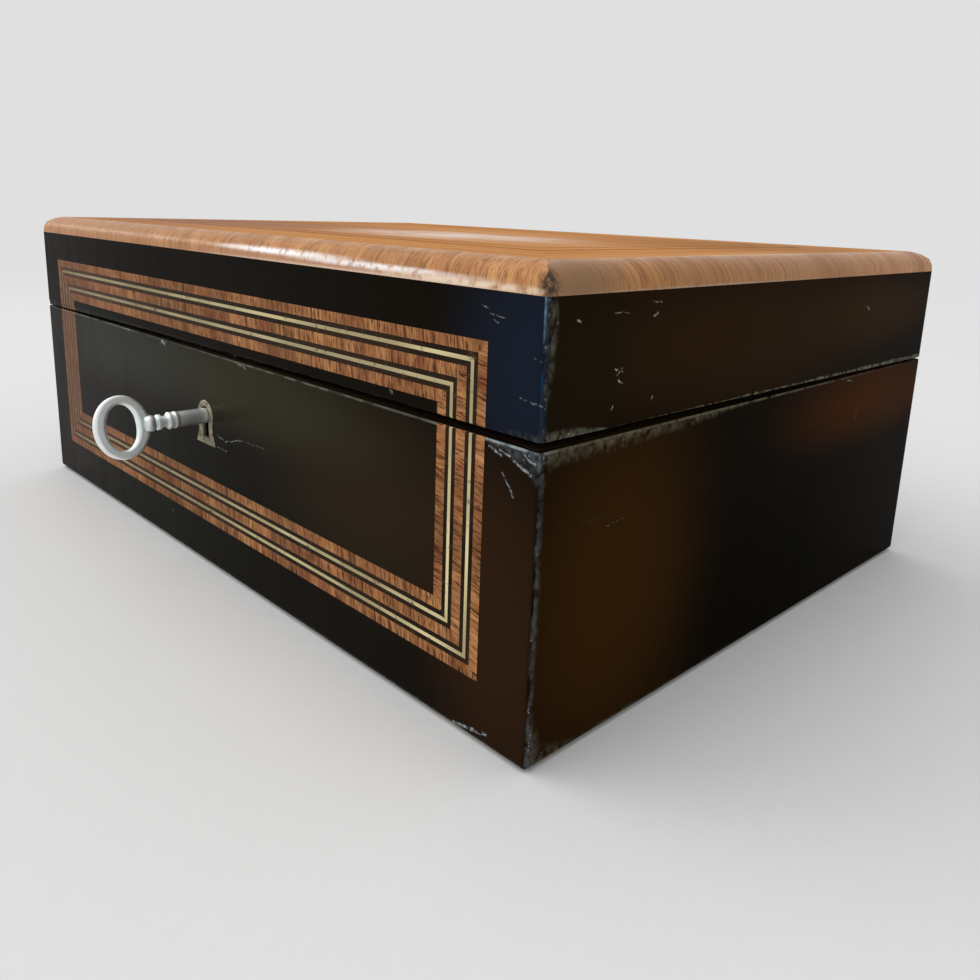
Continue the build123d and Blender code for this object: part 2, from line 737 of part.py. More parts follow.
def tray_nodes():
    """The lift-out tray: frame, bottom, dividers, pincushion and silk pulls."""
    pull_x = tray_in_x - soft_gap - pull_thickness
    pull = block(
        pull_x, pull_x + pull_thickness, -pull_width / 2, pull_width / 2, tray_floor + soft_gap,
        tray_top + pull_rise,
    )
    return {
        "tray_front": block(-tray_x, tray_x, -tray_y, -tray_in_y, tray_floor, tray_top),
        "tray_back": block(-tray_x, tray_x, tray_in_y, tray_y, tray_floor, tray_top),
        "tray_ends": solids_of(
            block(-tray_x, -tray_in_x, -tray_in_y, tray_in_y, tray_floor, tray_top),
            block(tray_in_x, tray_x, -tray_in_y, tray_in_y, tray_floor, tray_top),
        ),
        "tray_floor": block(-tray_x, tray_x, -tray_y, tray_y, ledge_top, tray_floor),
        "tray_dividers": solids_of(*divider_shapes()),
        "tray_pulls": solids_of(pull, mirror(pull, Plane.YZ)),
        "pincushion": pincushion_shape(),
    }


def lock_and_key_nodes():
    """The pieces of the lock that move, and the key."""
    return {
        "key": key_shape(),
        "lock_curtain": curtain_shape(),
        "lock_bolt": bolt_shape(),
        "bolt_spring": bolt_spring_shape(),
    }


os.makedirs("parts", exist_ok=True)
model = {**case_nodes(), **lid_nodes(), **tray_nodes(), **lock_and_key_nodes()}
for name, shape in model.items():
    export_step(shape, f"parts/{name}.step")
print(len(model), "nodes")
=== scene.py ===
"""Looks of an antique ebonised sewing box with an inlaid front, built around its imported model.

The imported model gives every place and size. This script dresses its wood, brass and steel, and
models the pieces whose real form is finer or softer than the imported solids: the key, the
escutcheon, the lid's edge moulding, the worn rims, and the silk, velvet and cloth.
"""

import logging
import math
from collections.abc import Callable, Sequence
from dataclasses import dataclass, field
from enum import Enum

import bmesh
import bpy
from mathutils import Matrix, Vector, noise


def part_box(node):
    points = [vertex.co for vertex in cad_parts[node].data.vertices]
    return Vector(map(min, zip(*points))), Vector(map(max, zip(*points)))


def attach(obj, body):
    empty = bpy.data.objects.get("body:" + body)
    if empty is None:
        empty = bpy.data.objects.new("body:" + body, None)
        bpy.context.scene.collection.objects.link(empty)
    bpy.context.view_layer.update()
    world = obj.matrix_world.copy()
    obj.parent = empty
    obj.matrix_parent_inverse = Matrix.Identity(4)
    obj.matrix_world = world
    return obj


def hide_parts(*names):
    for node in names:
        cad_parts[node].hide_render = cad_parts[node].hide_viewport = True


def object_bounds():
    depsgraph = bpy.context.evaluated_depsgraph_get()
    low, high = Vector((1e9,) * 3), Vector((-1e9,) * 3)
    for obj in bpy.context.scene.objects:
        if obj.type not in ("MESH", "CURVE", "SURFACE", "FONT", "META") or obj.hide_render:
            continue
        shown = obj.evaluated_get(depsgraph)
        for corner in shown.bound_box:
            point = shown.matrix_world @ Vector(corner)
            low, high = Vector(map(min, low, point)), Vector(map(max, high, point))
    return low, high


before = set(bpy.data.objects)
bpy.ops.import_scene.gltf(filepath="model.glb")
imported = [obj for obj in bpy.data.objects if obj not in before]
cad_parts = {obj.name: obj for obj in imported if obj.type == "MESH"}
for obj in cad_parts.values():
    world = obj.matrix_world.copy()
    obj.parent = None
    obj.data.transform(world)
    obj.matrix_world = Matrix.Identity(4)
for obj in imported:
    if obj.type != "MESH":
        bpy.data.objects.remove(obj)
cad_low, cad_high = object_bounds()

Point = tuple[float, float, float]
Rgba = tuple[float, float, float, float]
Socket = bpy.types.NodeSocket
Mesh = bmesh.types.BMesh

log = logging.getLogger("sewing box")

MM = 0.001


def span(node: str) -> tuple[Point, Point]:
    """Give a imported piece's lowest and highest corner, in millimetres."""
    low, high = (tuple(c / MM for c in corner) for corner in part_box(node))
    return low, high


# Outer form of the box in millimetres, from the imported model
HALF_WIDTH = cad_high.x / MM
HALF_DEPTH = -span("case_front_veneer")[0][1]
CASE_LOW, CASE_HIGH = (corner[2] for corner in span("case_front_veneer"))
LID_LOW, LID_HIGH = (corner[2] for corner in span("lid_front_veneer"))
FRAME_HALF = span("case_crossbanding")[1][0]
FRAME_LOW = span("case_crossbanding")[0][2]
FRAME_HIGH = span("lid_crossbanding")[1][2]


class Body(str, Enum):
    """The bodies that pieces ride on."""

    CASE = "case"
    LID = "lid"
    TRAY = "tray"
    KEY = "key"


class Lie(Enum):
    """How a veneer or a board lies, which sets where its length runs."""

    ALONG_X = "along x"
    ALONG_Y = "along y"
    FRONT_FRAME = "mitred on the front"
    TOP_FRAME = "mitred on the top"


class Face(Enum):
    """The faces that carry scratches and soft tones."""

    FRONT = "front"
    END = "right end"

    def at(self, along: float, up: float) -> Point:
        """Give a place on the face in millimetres."""
        return (along, -HALF_DEPTH, up) if self is Face.FRONT else (HALF_WIDTH, along, up)

    def reach(self, along: float, up: float, deep: float) -> Point:
        """Give a reach along the face, up it and into it, by axis."""
        return (along, deep, up) if self is Face.FRONT else (deep, along, up)


@dataclass(frozen=True)
class NodeKind:
    """A kind of shader node: its settings, the inputs to fill in order, and the output to use."""

    name: str
    settings: dict[str, object] = field(default_factory=dict)
    inputs: tuple[int | str, ...] = (0, 1, 2, 3, 4)
    out: int | str = 0


def kinds(name: str, *operations: str, **more: object) -> list[NodeKind]:
    """Give one kind of node for each operation that it can do."""
    return [NodeKind(name, {"operation": operation}, **more) for operation in operations]


PLUS, MINUS, TIMES, OVER, TIMES_PLUS, LEAST, MOST = kinds(
    "ShaderNodeMath", "ADD", "SUBTRACT", "MULTIPLY", "DIVIDE", "MULTIPLY_ADD", "MINIMUM", "MAXIMUM"
)
SIZE, WHOLE, PART, SINE, BELOW, ABOVE = kinds(
    "ShaderNodeMath", "ABSOLUTE", "FLOOR", "FRACT", "SINE", "LESS_THAN", "GREATER_THAN"
)
HELD_PLUS = NodeKind("ShaderNodeMath", {"operation": "ADD", "use_clamp": True})
HELD_TIMES = NodeKind("ShaderNodeMath", {"operation": "MULTIPLY", "use_clamp": True})
SHIFT, AWAY, SHARE, STRETCH_SHIFT = kinds(
    "ShaderNodeVectorMath", "ADD", "SUBTRACT", "DIVIDE", "MULTIPLY_ADD"
)
LENGTH, ALONG, DISTANCE = kinds(
    "ShaderNodeVectorMath", "LENGTH", "DOT_PRODUCT", "DISTANCE", out="Value"
)
SCALED = NodeKind("ShaderNodeVectorMath", {"operation": "SCALE"}, (0, "Scale"))
PLACE = NodeKind("ShaderNodeTexCoord", out="Object")
SPLIT = NodeKind("ShaderNodeSeparateXYZ")
JOIN = NodeKind("ShaderNodeCombineXYZ")
NOISE = NodeKind("ShaderNodeTexNoise", {}, ("Vector", "Scale", "Detail", "Roughness"))
CELLS = NodeKind("ShaderNodeTexVoronoi", {}, ("Vector", "Scale", "Randomness"), "Distance")
CHANCE = NodeKind("ShaderNodeTexWhiteNoise", {"noise_dimensions": "1D"}, ("W",), "Value")
RANGE = NodeKind("ShaderNodeMapRange")
SOFT_RANGE = NodeKind("ShaderNodeMapRange", {"interpolation_type": "SMOOTHSTEP"})
MIX = NodeKind("ShaderNodeMix", {"data_type": "RGBA"}, (0, 6, 7), 2)
DIM = NodeKind("ShaderNodeHueSaturation", {}, ("Value", "Color"))
RED = NodeKind("ShaderNodeSeparateColor")
BUMP = NodeKind("ShaderNodeBump", {}, ("Height", "Distance", "Strength"))
RAYS = NodeKind("ShaderNodeLightPath", out="Is Camera Ray")
GLOW = NodeKind("ShaderNodeBackground", {}, ("Color", "Strength"))
MIX_SHADERS = NodeKind("ShaderNodeMixShader")


def linear(code: str) -> Rgba:
    """Turn an sRGB colour, a hash sign and six hex digits, to linear light with an alpha of 1."""
    shares = [int(code[i : i + 2], 16) / 255 for i in (1, 3, 5)]
    light = [s / 12.92 if s <= 0.04045 else ((s + 0.055) / 1.055) ** 2.4 for s in shares]
    return (light[0], light[1], light[2], 1.0)


@dataclass(frozen=True)
class Patch:
    """A soft patch where a surface differs, with its middle and its reach in millimetres.

    A patch without a colour only says how far wear reaches. A ragged one breaks up into flecks
    of the size given.
    """

    centre: Point
    reach: Point
    colour: str = ""
    strength: float = 1.0
    ragged: float = 0.0


@dataclass(frozen=True)
class Scratch:
    """A scratch or nick between two points in millimetres, with its half width."""

    start: Point
    end: Point
    width: float


def tones(
    face: Face, *rows: tuple[float, float, float, float, str, float], deep: float = 30.0
) -> tuple[Patch, ...]:
    """Lay soft tones on a face.

    Args:
        face: the face.
        *rows: each tone's middle along and up the face, reach along and up, colour and strength.
        deep: the tones' reach into the face.

    Returns:
        The patches.
    """
    return tuple(
        Patch(face.at(along, up), face.reach(far, high, deep), code, strength)
        for along, up, far, high, code, strength in rows
    )


def scratched(face: Face, *rows: tuple[float, float, float, float, float]) -> tuple[Scratch, ...]:
    """Scratch a face; each row gives the start and the end, along and up, and the half width."""
    return tuple(Scratch(face.at(a, b), face.at(c, d), width) for a, b, c, d, width in rows)


class Drawing:
    """A node tree that is drawn node by node."""

    def __init__(self, tree: bpy.types.NodeTree) -> None:
        """Take the tree to draw in."""
        self.tree = tree

    def fill(self, socket: Socket, value: Socket | float | Point | Rgba) -> None:
        """Link an input to another node's output, or set it to a plain value."""
        if isinstance(value, Socket):
            self.tree.links.new(value, socket)
        else:
            socket.default_value = value

    def add(self, kind: NodeKind, *values: Socket | float | Point | Rgba) -> Socket:
        """Add a node with its settings and links.

        Args:
            kind: the kind of node.
            *values: sockets or plain values for the kind's inputs, in order.

        Returns:
            The kind's output.
        """
        node = self.tree.nodes.new(kind.name)
        for key, setting in kind.settings.items():
            setattr(node, key, setting)
        for key, value in zip(kind.inputs, values):
            self.fill(node.inputs[key], value)
        return node.outputs[kind.out]


class Surface(Drawing):
    """The node tree of one finish, with the place on the object in millimetres to draw from."""

    def __init__(self, name: str) -> None:
        """Start a material with only its shader and the place on the object."""
        self.material = bpy.data.materials.new(name)
        self.material.use_nodes = True
        super().__init__(self.material.node_tree)
        self.shader = self.tree.nodes["Principled BSDF"]
        self.place = self.add(SCALED, self.add(PLACE), 1 / MM)
        self.x, self.y, self.z = self.add(SPLIT, self.place).node.outputs

    def cloud(
        self, size: float | Point, seed: float, detail: float = 2.0, at: Socket | None = None
    ) -> Socket:
        """Draw soft lumps.

        Args:
            size: a lump's size in millimetres, or its size along each axis.
            seed: a number of its own for each cloud.
            detail: how much finer structure the lumps hold.
            at: the place to draw from, if not the place on the object.

        Returns:
            A value from 0 to 1, about 0.5 on average.
        """
        moved = self.add(SHIFT, at or self.place, (seed * 37, seed * 17, seed * 53))
        sizes = size if isinstance(size, tuple) else (size,) * 3
        return self.add(NOISE, self.add(SHARE, moved, sizes), 1.0, detail, 0.55)

    def spot(self, patch: Patch) -> Socket:
        """Draw a patch as a value that falls from its strength at its middle to 0 at its reach."""
        away = self.add(LENGTH, self.add(SHARE, self.add(AWAY, self.place, patch.centre), patch.reach))
        return self.add(TIMES, self.add(SOFT_RANGE, away, 1.0, 0.15), patch.strength)

    def toned(self, colour: Socket, patches: Sequence[Patch]) -> Socket:
        """Lay patches of other tones over a colour, one after the other."""
        for patch in patches:
            mask = self.spot(patch)
            if patch.ragged:
                flecks = self.add(RANGE, self.cloud(patch.ragged, 9, 4.0), 0.3, 0.52)
                mask = self.add(TIMES, mask, flecks)
            colour = self.add(MIX, mask, colour, linear(patch.colour))
        return colour

    def line(self, scratch: Scratch, at: Socket) -> Socket:
        """Draw a line between two points on the object.

        Args:
            scratch: its ends and its half width.
            at: the place to draw from, shaken a little so that the line isn't ruled.

        Returns:
            A value of 1 on the line that falls to 0 beside it.
        """
        run = Vector(scratch.end) - Vector(scratch.start)
        away = self.add(AWAY, at, scratch.start)
        along = self.add(HELD_PLUS, self.add(ALONG, away, tuple(run / run.length_squared)), 0.0)
        gap = self.add(DISTANCE, away, self.add(SCALED, tuple(run), along))
        return self.add(RANGE, gap, scratch.width, scratch.width * 0.4)

    def arris(self, low: float, high: float) -> Socket:
        """Measure how far the nearest outer arris is, along the face.

        Args:
            low: the form's lowest height in millimetres.
            high: its highest.

        Returns:
            The distance in millimetres.
        """
        wide, deep, tall = (
            self.add(MINUS, half, self.add(SIZE, self.add(MINUS, value, middle)))
            for value, half, middle in (
                (self.x, HALF_WIDTH, 0.0), (self.y, HALF_DEPTH, 0.0),
                (self.z, (high - low) / 2, (high + low) / 2),
            )
        )
        other = self.add(LEAST, self.add(MOST, wide, deep), tall)
        return self.add(MOST, self.add(LEAST, wide, deep), other)

    def lay(self, lie: Lie) -> tuple[Socket, Socket]:
        """Give the places along the length and across a strip or board, in millimetres."""
        if lie is Lie.ALONG_X:
            return self.x, self.add(PLUS, self.y, self.z)
        if lie is Lie.ALONG_Y:
            return self.y, self.add(PLUS, self.x, self.z)
        if lie is Lie.FRONT_FRAME:
            rise, middle, half = self.z, (FRAME_HIGH + FRAME_LOW) / 2, (FRAME_HIGH - FRAME_LOW) / 2
            width = FRAME_HALF
        else:
            rise, middle, half, width = self.y, 0.0, HALF_DEPTH, HALF_WIDTH
        side_gap = self.add(MINUS, width, self.add(SIZE, self.x))
        end_gap = self.add(MINUS, half, self.add(SIZE, self.add(MINUS, rise, middle)))
        side = self.add(BELOW, side_gap, end_gap)
        run = self.add(TIMES_PLUS, side, self.add(MINUS, rise, self.x), self.x)
        return run, self.add(TIMES_PLUS, side, self.add(MINUS, self.x, rise), rise)

    def finish(
        self, colour: Socket, roughness: Socket | float, relief: Socket | None = None, **sockets: float | Rgba
    ) -> bpy.types.Material:
        """Join what was drawn to the shader.

        Args:
            colour: the surface's colour.
            roughness: its roughness.
            relief: its height in millimetres.
            **sockets: the shader's other sockets, with their spaces as underscores.

        Returns:
            The material.
        """
        if relief is not None:
            sockets["Normal"] = self.add(BUMP, relief, MM, 1.0)
        for key, value in {"Base_Color": colour, "Roughness": roughness, **sockets}.items():
            self.fill(self.shader.inputs[key.replace("_", " ")], value)
        return self.material


@dataclass(frozen=True)
class Finish:
    """A surface as the maker and the years have left it."""

    name: str

    def paint(self, s: Surface) -> bpy.types.Material:
        """Draw the finish; each kind has its own way."""
        raise NotImplementedError

    def material(self) -> bpy.types.Material:
        """Make the material, or find the one made before."""
        return bpy.data.materials.get(self.name) or self.paint(Surface(self.name))


@dataclass(frozen=True)
class EbonisedPolish(Finish):
    """Pear veneer stained black under French polish.

    The eye sees a deep brown-black gloss with soft, slightly wavy reflections, greyer rubbed
    arrises with a few pale specks where they are handled, and hairline scratches. Lengths are in
    millimetres.
    """

    low: float = 0.0
    high: float = 0.0
    patches: tuple[Patch, ...] = ()
    worn: tuple[Patch, ...] = ()
    arris_lines_and_glint: tuple[Patch, ...] = ()
    scratches: tuple[Scratch, ...] = ()
    deep: str = "#0c0905"
    warm: str = "#171008"
    rubbed: str = "#4c4c41"
    chipped: str = "#85867f"
    line_width: float = 0.7
    speck: float = 1.2
    knock_spacing: float = 9.0
    shake: float = 1.2
    chip_depth: float = 0.1
    swell: float = 0.22
    roughness: float = 0.2
    level: float = 0.018

    def paint(self, s: Surface) -> bpy.types.Material:
        """Draw the stain, the rubbed arrises, the specks and the scratches."""
        mottle = s.cloud((70.0, 70.0, 45.0), 1, 3.0)
        colour = s.toned(s.add(MIX, mottle, linear(self.deep), linear(self.warm)), self.patches)
        edge = s.arris(self.low, self.high)

        # Hands have rubbed the arrises grey in soft mottles, several millimetres in at the corners
        reach = s.add(RANGE, s.cloud(14.0, 2), 0.4, 0.7, 0.1, 0.6)
        for patch in self.worn:
            reach = s.add(PLUS, reach, s.spot(patch))
        share = s.add(RANGE, s.add(OVER, edge, reach), 1.0, 0.0)
        mottles = s.add(RANGE, s.cloud((1.7, 1.7, 2.2), 3, 4.0), 0.38, 0.66, 0.0, 0.9)
        rub = s.add(TIMES, share, mottles)
        colour = s.add(MIX, rub, colour, linear(self.rubbed))

        # Specks of bare ground are thickest on the arris
        grit = s.add(TIMES_PLUS, share, 0.12, s.cloud(self.speck, 4, 3.0))
        bared = s.add(RANGE, grit, 0.71, 0.83, 0.0, 0.85)
        specks = s.add(TIMES, bared, s.add(HELD_TIMES, share, 4.0))
        colour = s.add(MIX, specks, colour, linear(self.chipped))

        # Some arrises are worn to a thin line, broken here and there, or have one of dirt; on the lid's near
        # corner the thin line carries a painted highlight
        thin = s.add(RANGE, edge, self.line_width, self.line_width * 0.6)
        arris_line = s.add(TIMES, thin, s.add(RANGE, s.cloud(5.0, 5, 3.0), 0.36, 0.52))
        for patch in self.arris_lines_and_glint:
            mask = s.add(TIMES, s.spot(patch), arris_line)
            colour = s.add(MIX, mask, colour, linear(patch.colour))

        # Pinpoint knocks, a few in each hand's breadth
        cells = s.add(CELLS, s.place, 1 / self.knock_spacing, 1.0)
        chosen = s.add(ABOVE, s.add(RED, cells.node.outputs["Color"]), 0.8)
        marks = s.add(TIMES, s.add(RANGE, cells, 0.035, 0.02, 0.0, 0.6), chosen)

        # Scratches in the polish, each a little ragged
        wobble = s.add(AWAY, s.add(NOISE, s.place, 0.5, 2.0).node.outputs["Color"], (0.5,) * 3)
        ragged = s.add(STRETCH_SHIFT, wobble, (self.shake,) * 3, s.place)
        for scratch in self.scratches:
            marks = s.add(MOST, marks, s.line(scratch, ragged))
        marks = s.add(TIMES, marks, s.add(RANGE, s.cloud(1.0, 6, 1.0), 0.36, 0.66, 0.0, 0.8))
        colour = s.add(MIX, marks, colour, linear(self.chipped))

        # The rubber's strokes run up and down the sides and soften the gloss in streaks
        strokes = s.cloud((6.0, 6.0, 70.0), 7, 3.0)
        rough = s.add(RANGE, strokes, 0.3, 0.7, self.roughness - 0.05, self.roughness + 0.12)
        rough = s.add(TIMES_PLUS, s.add(MOST, specks, rub), 0.35, rough)
        loss = s.add(TIMES, s.add(MOST, specks, marks), -self.chip_depth)
        relief = s.add(TIMES_PLUS, s.cloud((26.0, 26.0, 40.0), 8, 1.0), self.swell, loss)
        return s.finish(colour, rough, relief, Specular_IOR_Level=self.level)


@dataclass(frozen=True)
class Veneer(Finish):
    """Figured hardwood under polish, in leaves laid end to end.

    The eye sees fine dark pores and streaks with the grain, and leaves that differ in tone. The
    pores are drawn two or three times as wide as real ones, so that they show. Lengths are in
    millimetres.
    """

    lie: Lie = Lie.ALONG_X
    across: bool = False
    light: str = "#c08a50"
    middle: str = "#94602f"
    dark: str = "#4b2c18"
    red: str = "#7c3f22"
    line: float = 0.9
    length: float = 15.0
    leaf: float = 40.0
    joint: float = 0.22
    pores: float = 0.6
    thickly: float = 0.6
    unlike: float = 0.23
    roughness: float = 0.3
    level: float = 0.3
    depth: float = 0.7
    patches: tuple[Patch, ...] = ()
    glossy: tuple[Patch, ...] = ()
    papered: float | None = None
    paper: str = "#7d2a35"

    def paint(self, s: Surface) -> bpy.types.Material:
        """Draw the leaves, the streaks, the pores and the joints."""
        run, width = s.lay(self.lie)
        lean = s.add(TIMES_PLUS, width, 0.16, run)
        fine, long = (lean, width) if self.across else (width, run)
        wander = s.cloud((12.0, 40.0, 1.0), 11, 1.0, s.add(JOIN, fine, long))
        grain = s.add(JOIN, s.add(TIMES_PLUS, wander, 3.0, fine), long)
        streak, broad, pore = (
            s.cloud((self.line * wide, self.length * far, 1.0), seed, detail, grain)
            for wide, far, seed, detail in ((1.6, 2, 12, 4.0), (9, 3, 13, 2.0), (0.45, 0.5, 14, 1.0))
        )
        leaf = s.add(TIMES_PLUS, run, 1 / self.leaf, 0.5)
        tone = s.add(CHANCE, s.add(WHOLE, leaf))
        joint = s.add(RANGE, s.add(PART, leaf), self.joint / self.leaf, 0.1 / self.leaf)

        light = s.add(RANGE, streak, 0.38, 0.68)
        shade = s.add(RANGE, broad, 0.42, 0.72, 0.0, self.depth)
        deep = s.add(RANGE, streak, 0.44, 0.3, 0.0, self.depth)
        pits = s.add(RANGE, pore, self.thickly, self.thickly + 0.12, 0.0, self.pores)
        colour = s.add(MIX, light, linear(self.middle), linear(self.light))
        for mask, code in ((shade, self.red), (deep, self.dark), (pits, self.dark)):
            colour = s.add(MIX, mask, colour, linear(code))
        dim = s.add(RANGE, tone, 0.0, 1.0, 0.95 - self.unlike, 0.95 + self.unlike)
        colour = s.add(MIX, joint, s.add(DIM, dim, colour), linear(self.dark))
        colour = s.toned(colour, self.patches)
        if self.papered is not None:
            colour = s.add(MIX, s.add(ABOVE, s.z, self.papered), colour, linear(self.paper))

        rough = s.add(RANGE, broad, 0.3, 0.7, self.roughness - 0.05, self.roughness + 0.1)
        for patch in self.glossy:
            rough = s.add(MINUS, rough, s.spot(patch))
        relief = s.add(TIMES, s.add(MOST, pits, joint), -0.05)
        relief = s.add(TIMES_PLUS, s.cloud(22.0, 15, 1.0), 0.12, relief)
        return s.finish(colour, rough, relief, Specular_IOR_Level=self.level)


@dataclass(frozen=True)
class InlaidLine(Finish):
    """A thin line of boxwood or ebony let in flush and polished over.

    The eye sees one clear tone that dulls here and there, where the polish has taken dirt.
    """

    clean: str = "#dccb93"
    dull: str = "#8f866e"
    dirt: str = "#3b3020"
    roughness: float = 0.36
    level: float = 0.03
    patches: tuple[Patch, ...] = ()

    def paint(self, s: Surface) -> bpy.types.Material:
        """Draw the clean and dull stretches and the dirt."""
        stretch = s.add(RANGE, s.cloud(38.0, 21), 0.4, 0.62)
        colour = s.toned(s.add(MIX, stretch, linear(self.clean), linear(self.dull)), self.patches)
        fleck = s.add(RANGE, s.cloud(2.2, 22, 3.0), 0.58, 0.72, 0.0, 0.8)
        colour = s.add(MIX, fleck, colour, linear(self.dirt))
        return s.finish(colour, self.roughness, s.add(TIMES, fleck, -0.05), Specular_IOR_Level=self.level)


@dataclass(frozen=True)
class WovenCloth(Finish):
    """Silk or another plain weave.

    The eye sees crossing threads and a soft lustre that follows the folds. The threads are
    drawn about three times as coarse as real silk, so that they show.
    """

    warp: str = "#a3262f"
    weft: str = "#7d1620"
    lustre: str = "#f0a0a8"
    thread: float = 0.45
    sheen: float = 0.5
    roughness: float = 0.45

    def paint(self, s: Surface) -> bpy.types.Material:
        """Draw the threads, their slubs and the fading."""
        waves = []
        for value in (s.x, s.y):
            wobble = s.add(TIMES_PLUS, s.cloud(7.0, 31), 0.5, value)
            waves.append(s.add(SINE, s.add(TIMES, wobble, math.pi / self.thread)))
        cross = s.add(TIMES, *waves)
        colour = s.add(MIX, s.add(RANGE, cross, -0.5, 0.5), linear(self.weft), linear(self.warp))
        slub = s.add(RANGE, s.cloud((0.6, 9.0, 9.0), 32, 2.0), 0.55, 0.75, 0.0, 0.4)
        colour = s.add(MIX, slub, colour, linear(self.warp))
        colour = s.add(DIM, s.add(RANGE, s.cloud(60.0, 33), 0.3, 0.7, 0.85, 1.12), colour)
        return s.finish(
            colour, self.roughness, s.add(TIMES, cross, 0.03), Sheen_Weight=self.sheen, Sheen_Roughness=0.35,
            Sheen_Tint=linear(self.lustre), Specular_IOR_Level=0.35,
        )


@dataclass(frozen=True)
class CutPile(Finish):
    """Velvet or baize: short pile that stands off the cloth.

    The eye sees a deep colour with a pale bloom at grazing angles, and lighter smears where the
    pile has been stroked the other way.
    """

    deep: str = "#4a0d17"
    stroked: str = "#7c1f2c"
    tuft: float = 0.5
    sheen: float = 0.35
    bloom: str = "#d0506a"

    def paint(self, s: Surface) -> bpy.types.Material:
        """Draw the tufts and the strokes."""
        stroke = s.add(RANGE, s.cloud((14.0, 9.0, 14.0), 41, 3.0), 0.4, 0.7)
        colour = s.add(MIX, stroke, linear(self.deep), linear(self.stroked))
        tufts = s.cloud(self.tuft, 42, 2.0)
        colour = s.add(DIM, s.add(RANGE, tufts, 0.3, 0.7, 0.7, 1.25), colour)
        return s.finish(
            colour, 0.95, s.add(TIMES, tufts, 0.25), Sheen_Weight=self.sheen, Sheen_Roughness=0.5,
            Sheen_Tint=linear(self.bloom), Specular_IOR_Level=0.1,
        )


@dataclass(frozen=True)
class WorkedMetal(Finish):
    """Cast, filed or plated metal with age on it.

    The eye sees a clear metal tone, fine tool lines along one direction and darker tarnish in
    patches, where the shine is dull.
    """

    clean: str = "#cfd2cd"
    tarnish: str = "#8e8f88"
    lines: Point = (0.25, 14.0, 0.25)
    patch: float = 5.0
    start: float = 0.5
    roughness: float = 0.24
    dullness: float = 0.22
    patches: tuple[Patch, ...] = ()

    def paint(self, s: Surface) -> bpy.types.Material:
        """Draw the tarnish and the tool lines."""
        dull = s.add(RANGE, s.cloud(self.patch, 51, 4.0), self.start, self.start + 0.2)
        colour = s.toned(s.add(MIX, dull, linear(self.clean), linear(self.tarnish)), self.patches)
        tooled = s.cloud(self.lines, 52, 2.0)
        rough = s.add(TIMES_PLUS, dull, self.dullness, self.roughness)
        rough = s.add(TIMES_PLUS, tooled, 0.12, rough)
        return s.finish(colour, rough, s.add(TIMES, tooled, 0.02), Metallic=1.0)


@dataclass(frozen=True)
class StudioPaper(Finish):
    """Pale background paper.

    The eye sees one even tone, with fibres that barely show.
    """

    pale: str = "#e0e0e0"

    def paint(self, s: Surface) -> bpy.types.Material:
        """Draw the fibres."""
        dim = s.add(RANGE, s.cloud(3.0, 61, 2.0), 0.0, 1.0, 0.985, 1.015)
        return s.finish(s.add(DIM, dim, linear(self.pale)), 0.9, Specular_IOR_Level=0.0)


# The near corner of the box has had the most handling
NEAR = (HALF_WIDTH, -HALF_DEPTH)

CASE_WEAR = {
    "low": CASE_LOW,
    "high": CASE_HIGH,
    "worn": (
        Patch((HALF_WIDTH, -96.9, 35.0), (0.5, 10.0, 62.0), strength=2.0),
        Patch((HALF_WIDTH, -80.0, CASE_HIGH), (0.6, 76.0, 8.0), strength=5.0),
        Patch((137.0, -HALF_DEPTH, CASE_HIGH), (16.0, 0.6, 9.0), strength=4.5),
        Patch((HALF_WIDTH, -93.0, 3.0), (0.6, 15.0, 12.0), strength=4.0),
        Patch((HALF_WIDTH, -60.0, CASE_LOW), (0.6, 100.0, 5.0), strength=1.5),
        Patch((80.0, -HALF_DEPTH, CASE_LOW), (120.0, 0.6, 5.0), strength=1.2),
    ),
    "arris_lines_and_glint": (
        Patch((-86.0, -HALF_DEPTH, CASE_HIGH), (80.0, 8.0, 5.0), "#62625c", 0.7),
        Patch((60.0, -HALF_DEPTH, CASE_HIGH), (90.0, 8.0, 5.0), "#65655a", 0.7),
        Patch((128.0, -HALF_DEPTH, CASE_HIGH), (26.0, 8.0, 5.0), "#98a3a6", 0.9),
        Patch((HALF_WIDTH, -30.0, CASE_HIGH), (8.0, 115.0, 5.0), "#5c5a45", 0.85),
        Patch((*NEAR, 33.0), (6.0, 6.0, 44.0), "#050606"),
        Patch((HALF_WIDTH, -58.0, CASE_LOW), (6.0, 60.0, 5.0), "#5d5142", 0.8),
        Patch((118.0, -HALF_DEPTH, CASE_LOW), (16.0, 6.0, 4.0), "#a9aaa2", 0.9),
    ),
}
# The case front's patches are painted reflections: a dark greenish one low on the left, warm brown glows
# towards the right and olive-grey sheens high up
CASE_POLISH = EbonisedPolish(
    "ebonised_pear_french_polished_case", **CASE_WEAR, rubbed="#566064", chipped="#a9b4ba",
    patches=tones(
        Face.FRONT, (-30.0, 20.0, 110.0, 34.0, "#0b0c03", 1.0), (86.0, 46.0, 66.0, 36.0, "#291f12", 1.0),
        deep=40.0,
    ) + tones(
        Face.FRONT, (130.0, 28.0, 32.0, 56.0, "#2d1b0c", 1.0), (25.0, 63.0, 90.0, 20.0, "#33311f", 0.8),
        (-60.0, 64.0, 90.0, 24.0, "#31312a", 0.8),
    ),
    scratches=scratched(
        Face.FRONT, (3.8, 46.3, 12.0, 44.8, 0.2), (12.0, 44.8, 22.0, 47.2, 0.2), (22.0, 47.2, 35.3, 47.8, 0.15),
        (6.7, 41.9, 13.7, 41.7, 0.16), (117.4, 1.8, 127.9, 3.6, 0.5), (-29.4, 70.1, -27.4, 69.5, 0.9),
        (-62.0, 70.4, -56.0, 70.2, 0.3), (20.0, 70.3, 26.0, 69.6, 0.3), (130.0, 64.4, 132.6, 61.4, 0.3),
        (132.6, 61.4, 133.2, 60.2, 0.45), (126.0, 69.2, 129.5, 67.8, 0.35), (129.0, 69.0, 132.0, 68.4, 0.3),
        (133.0, 67.6, 138.0, 65.8, 0.45), (135.6, 69.4, 138.8, 68.0, 0.4),
    ),
)
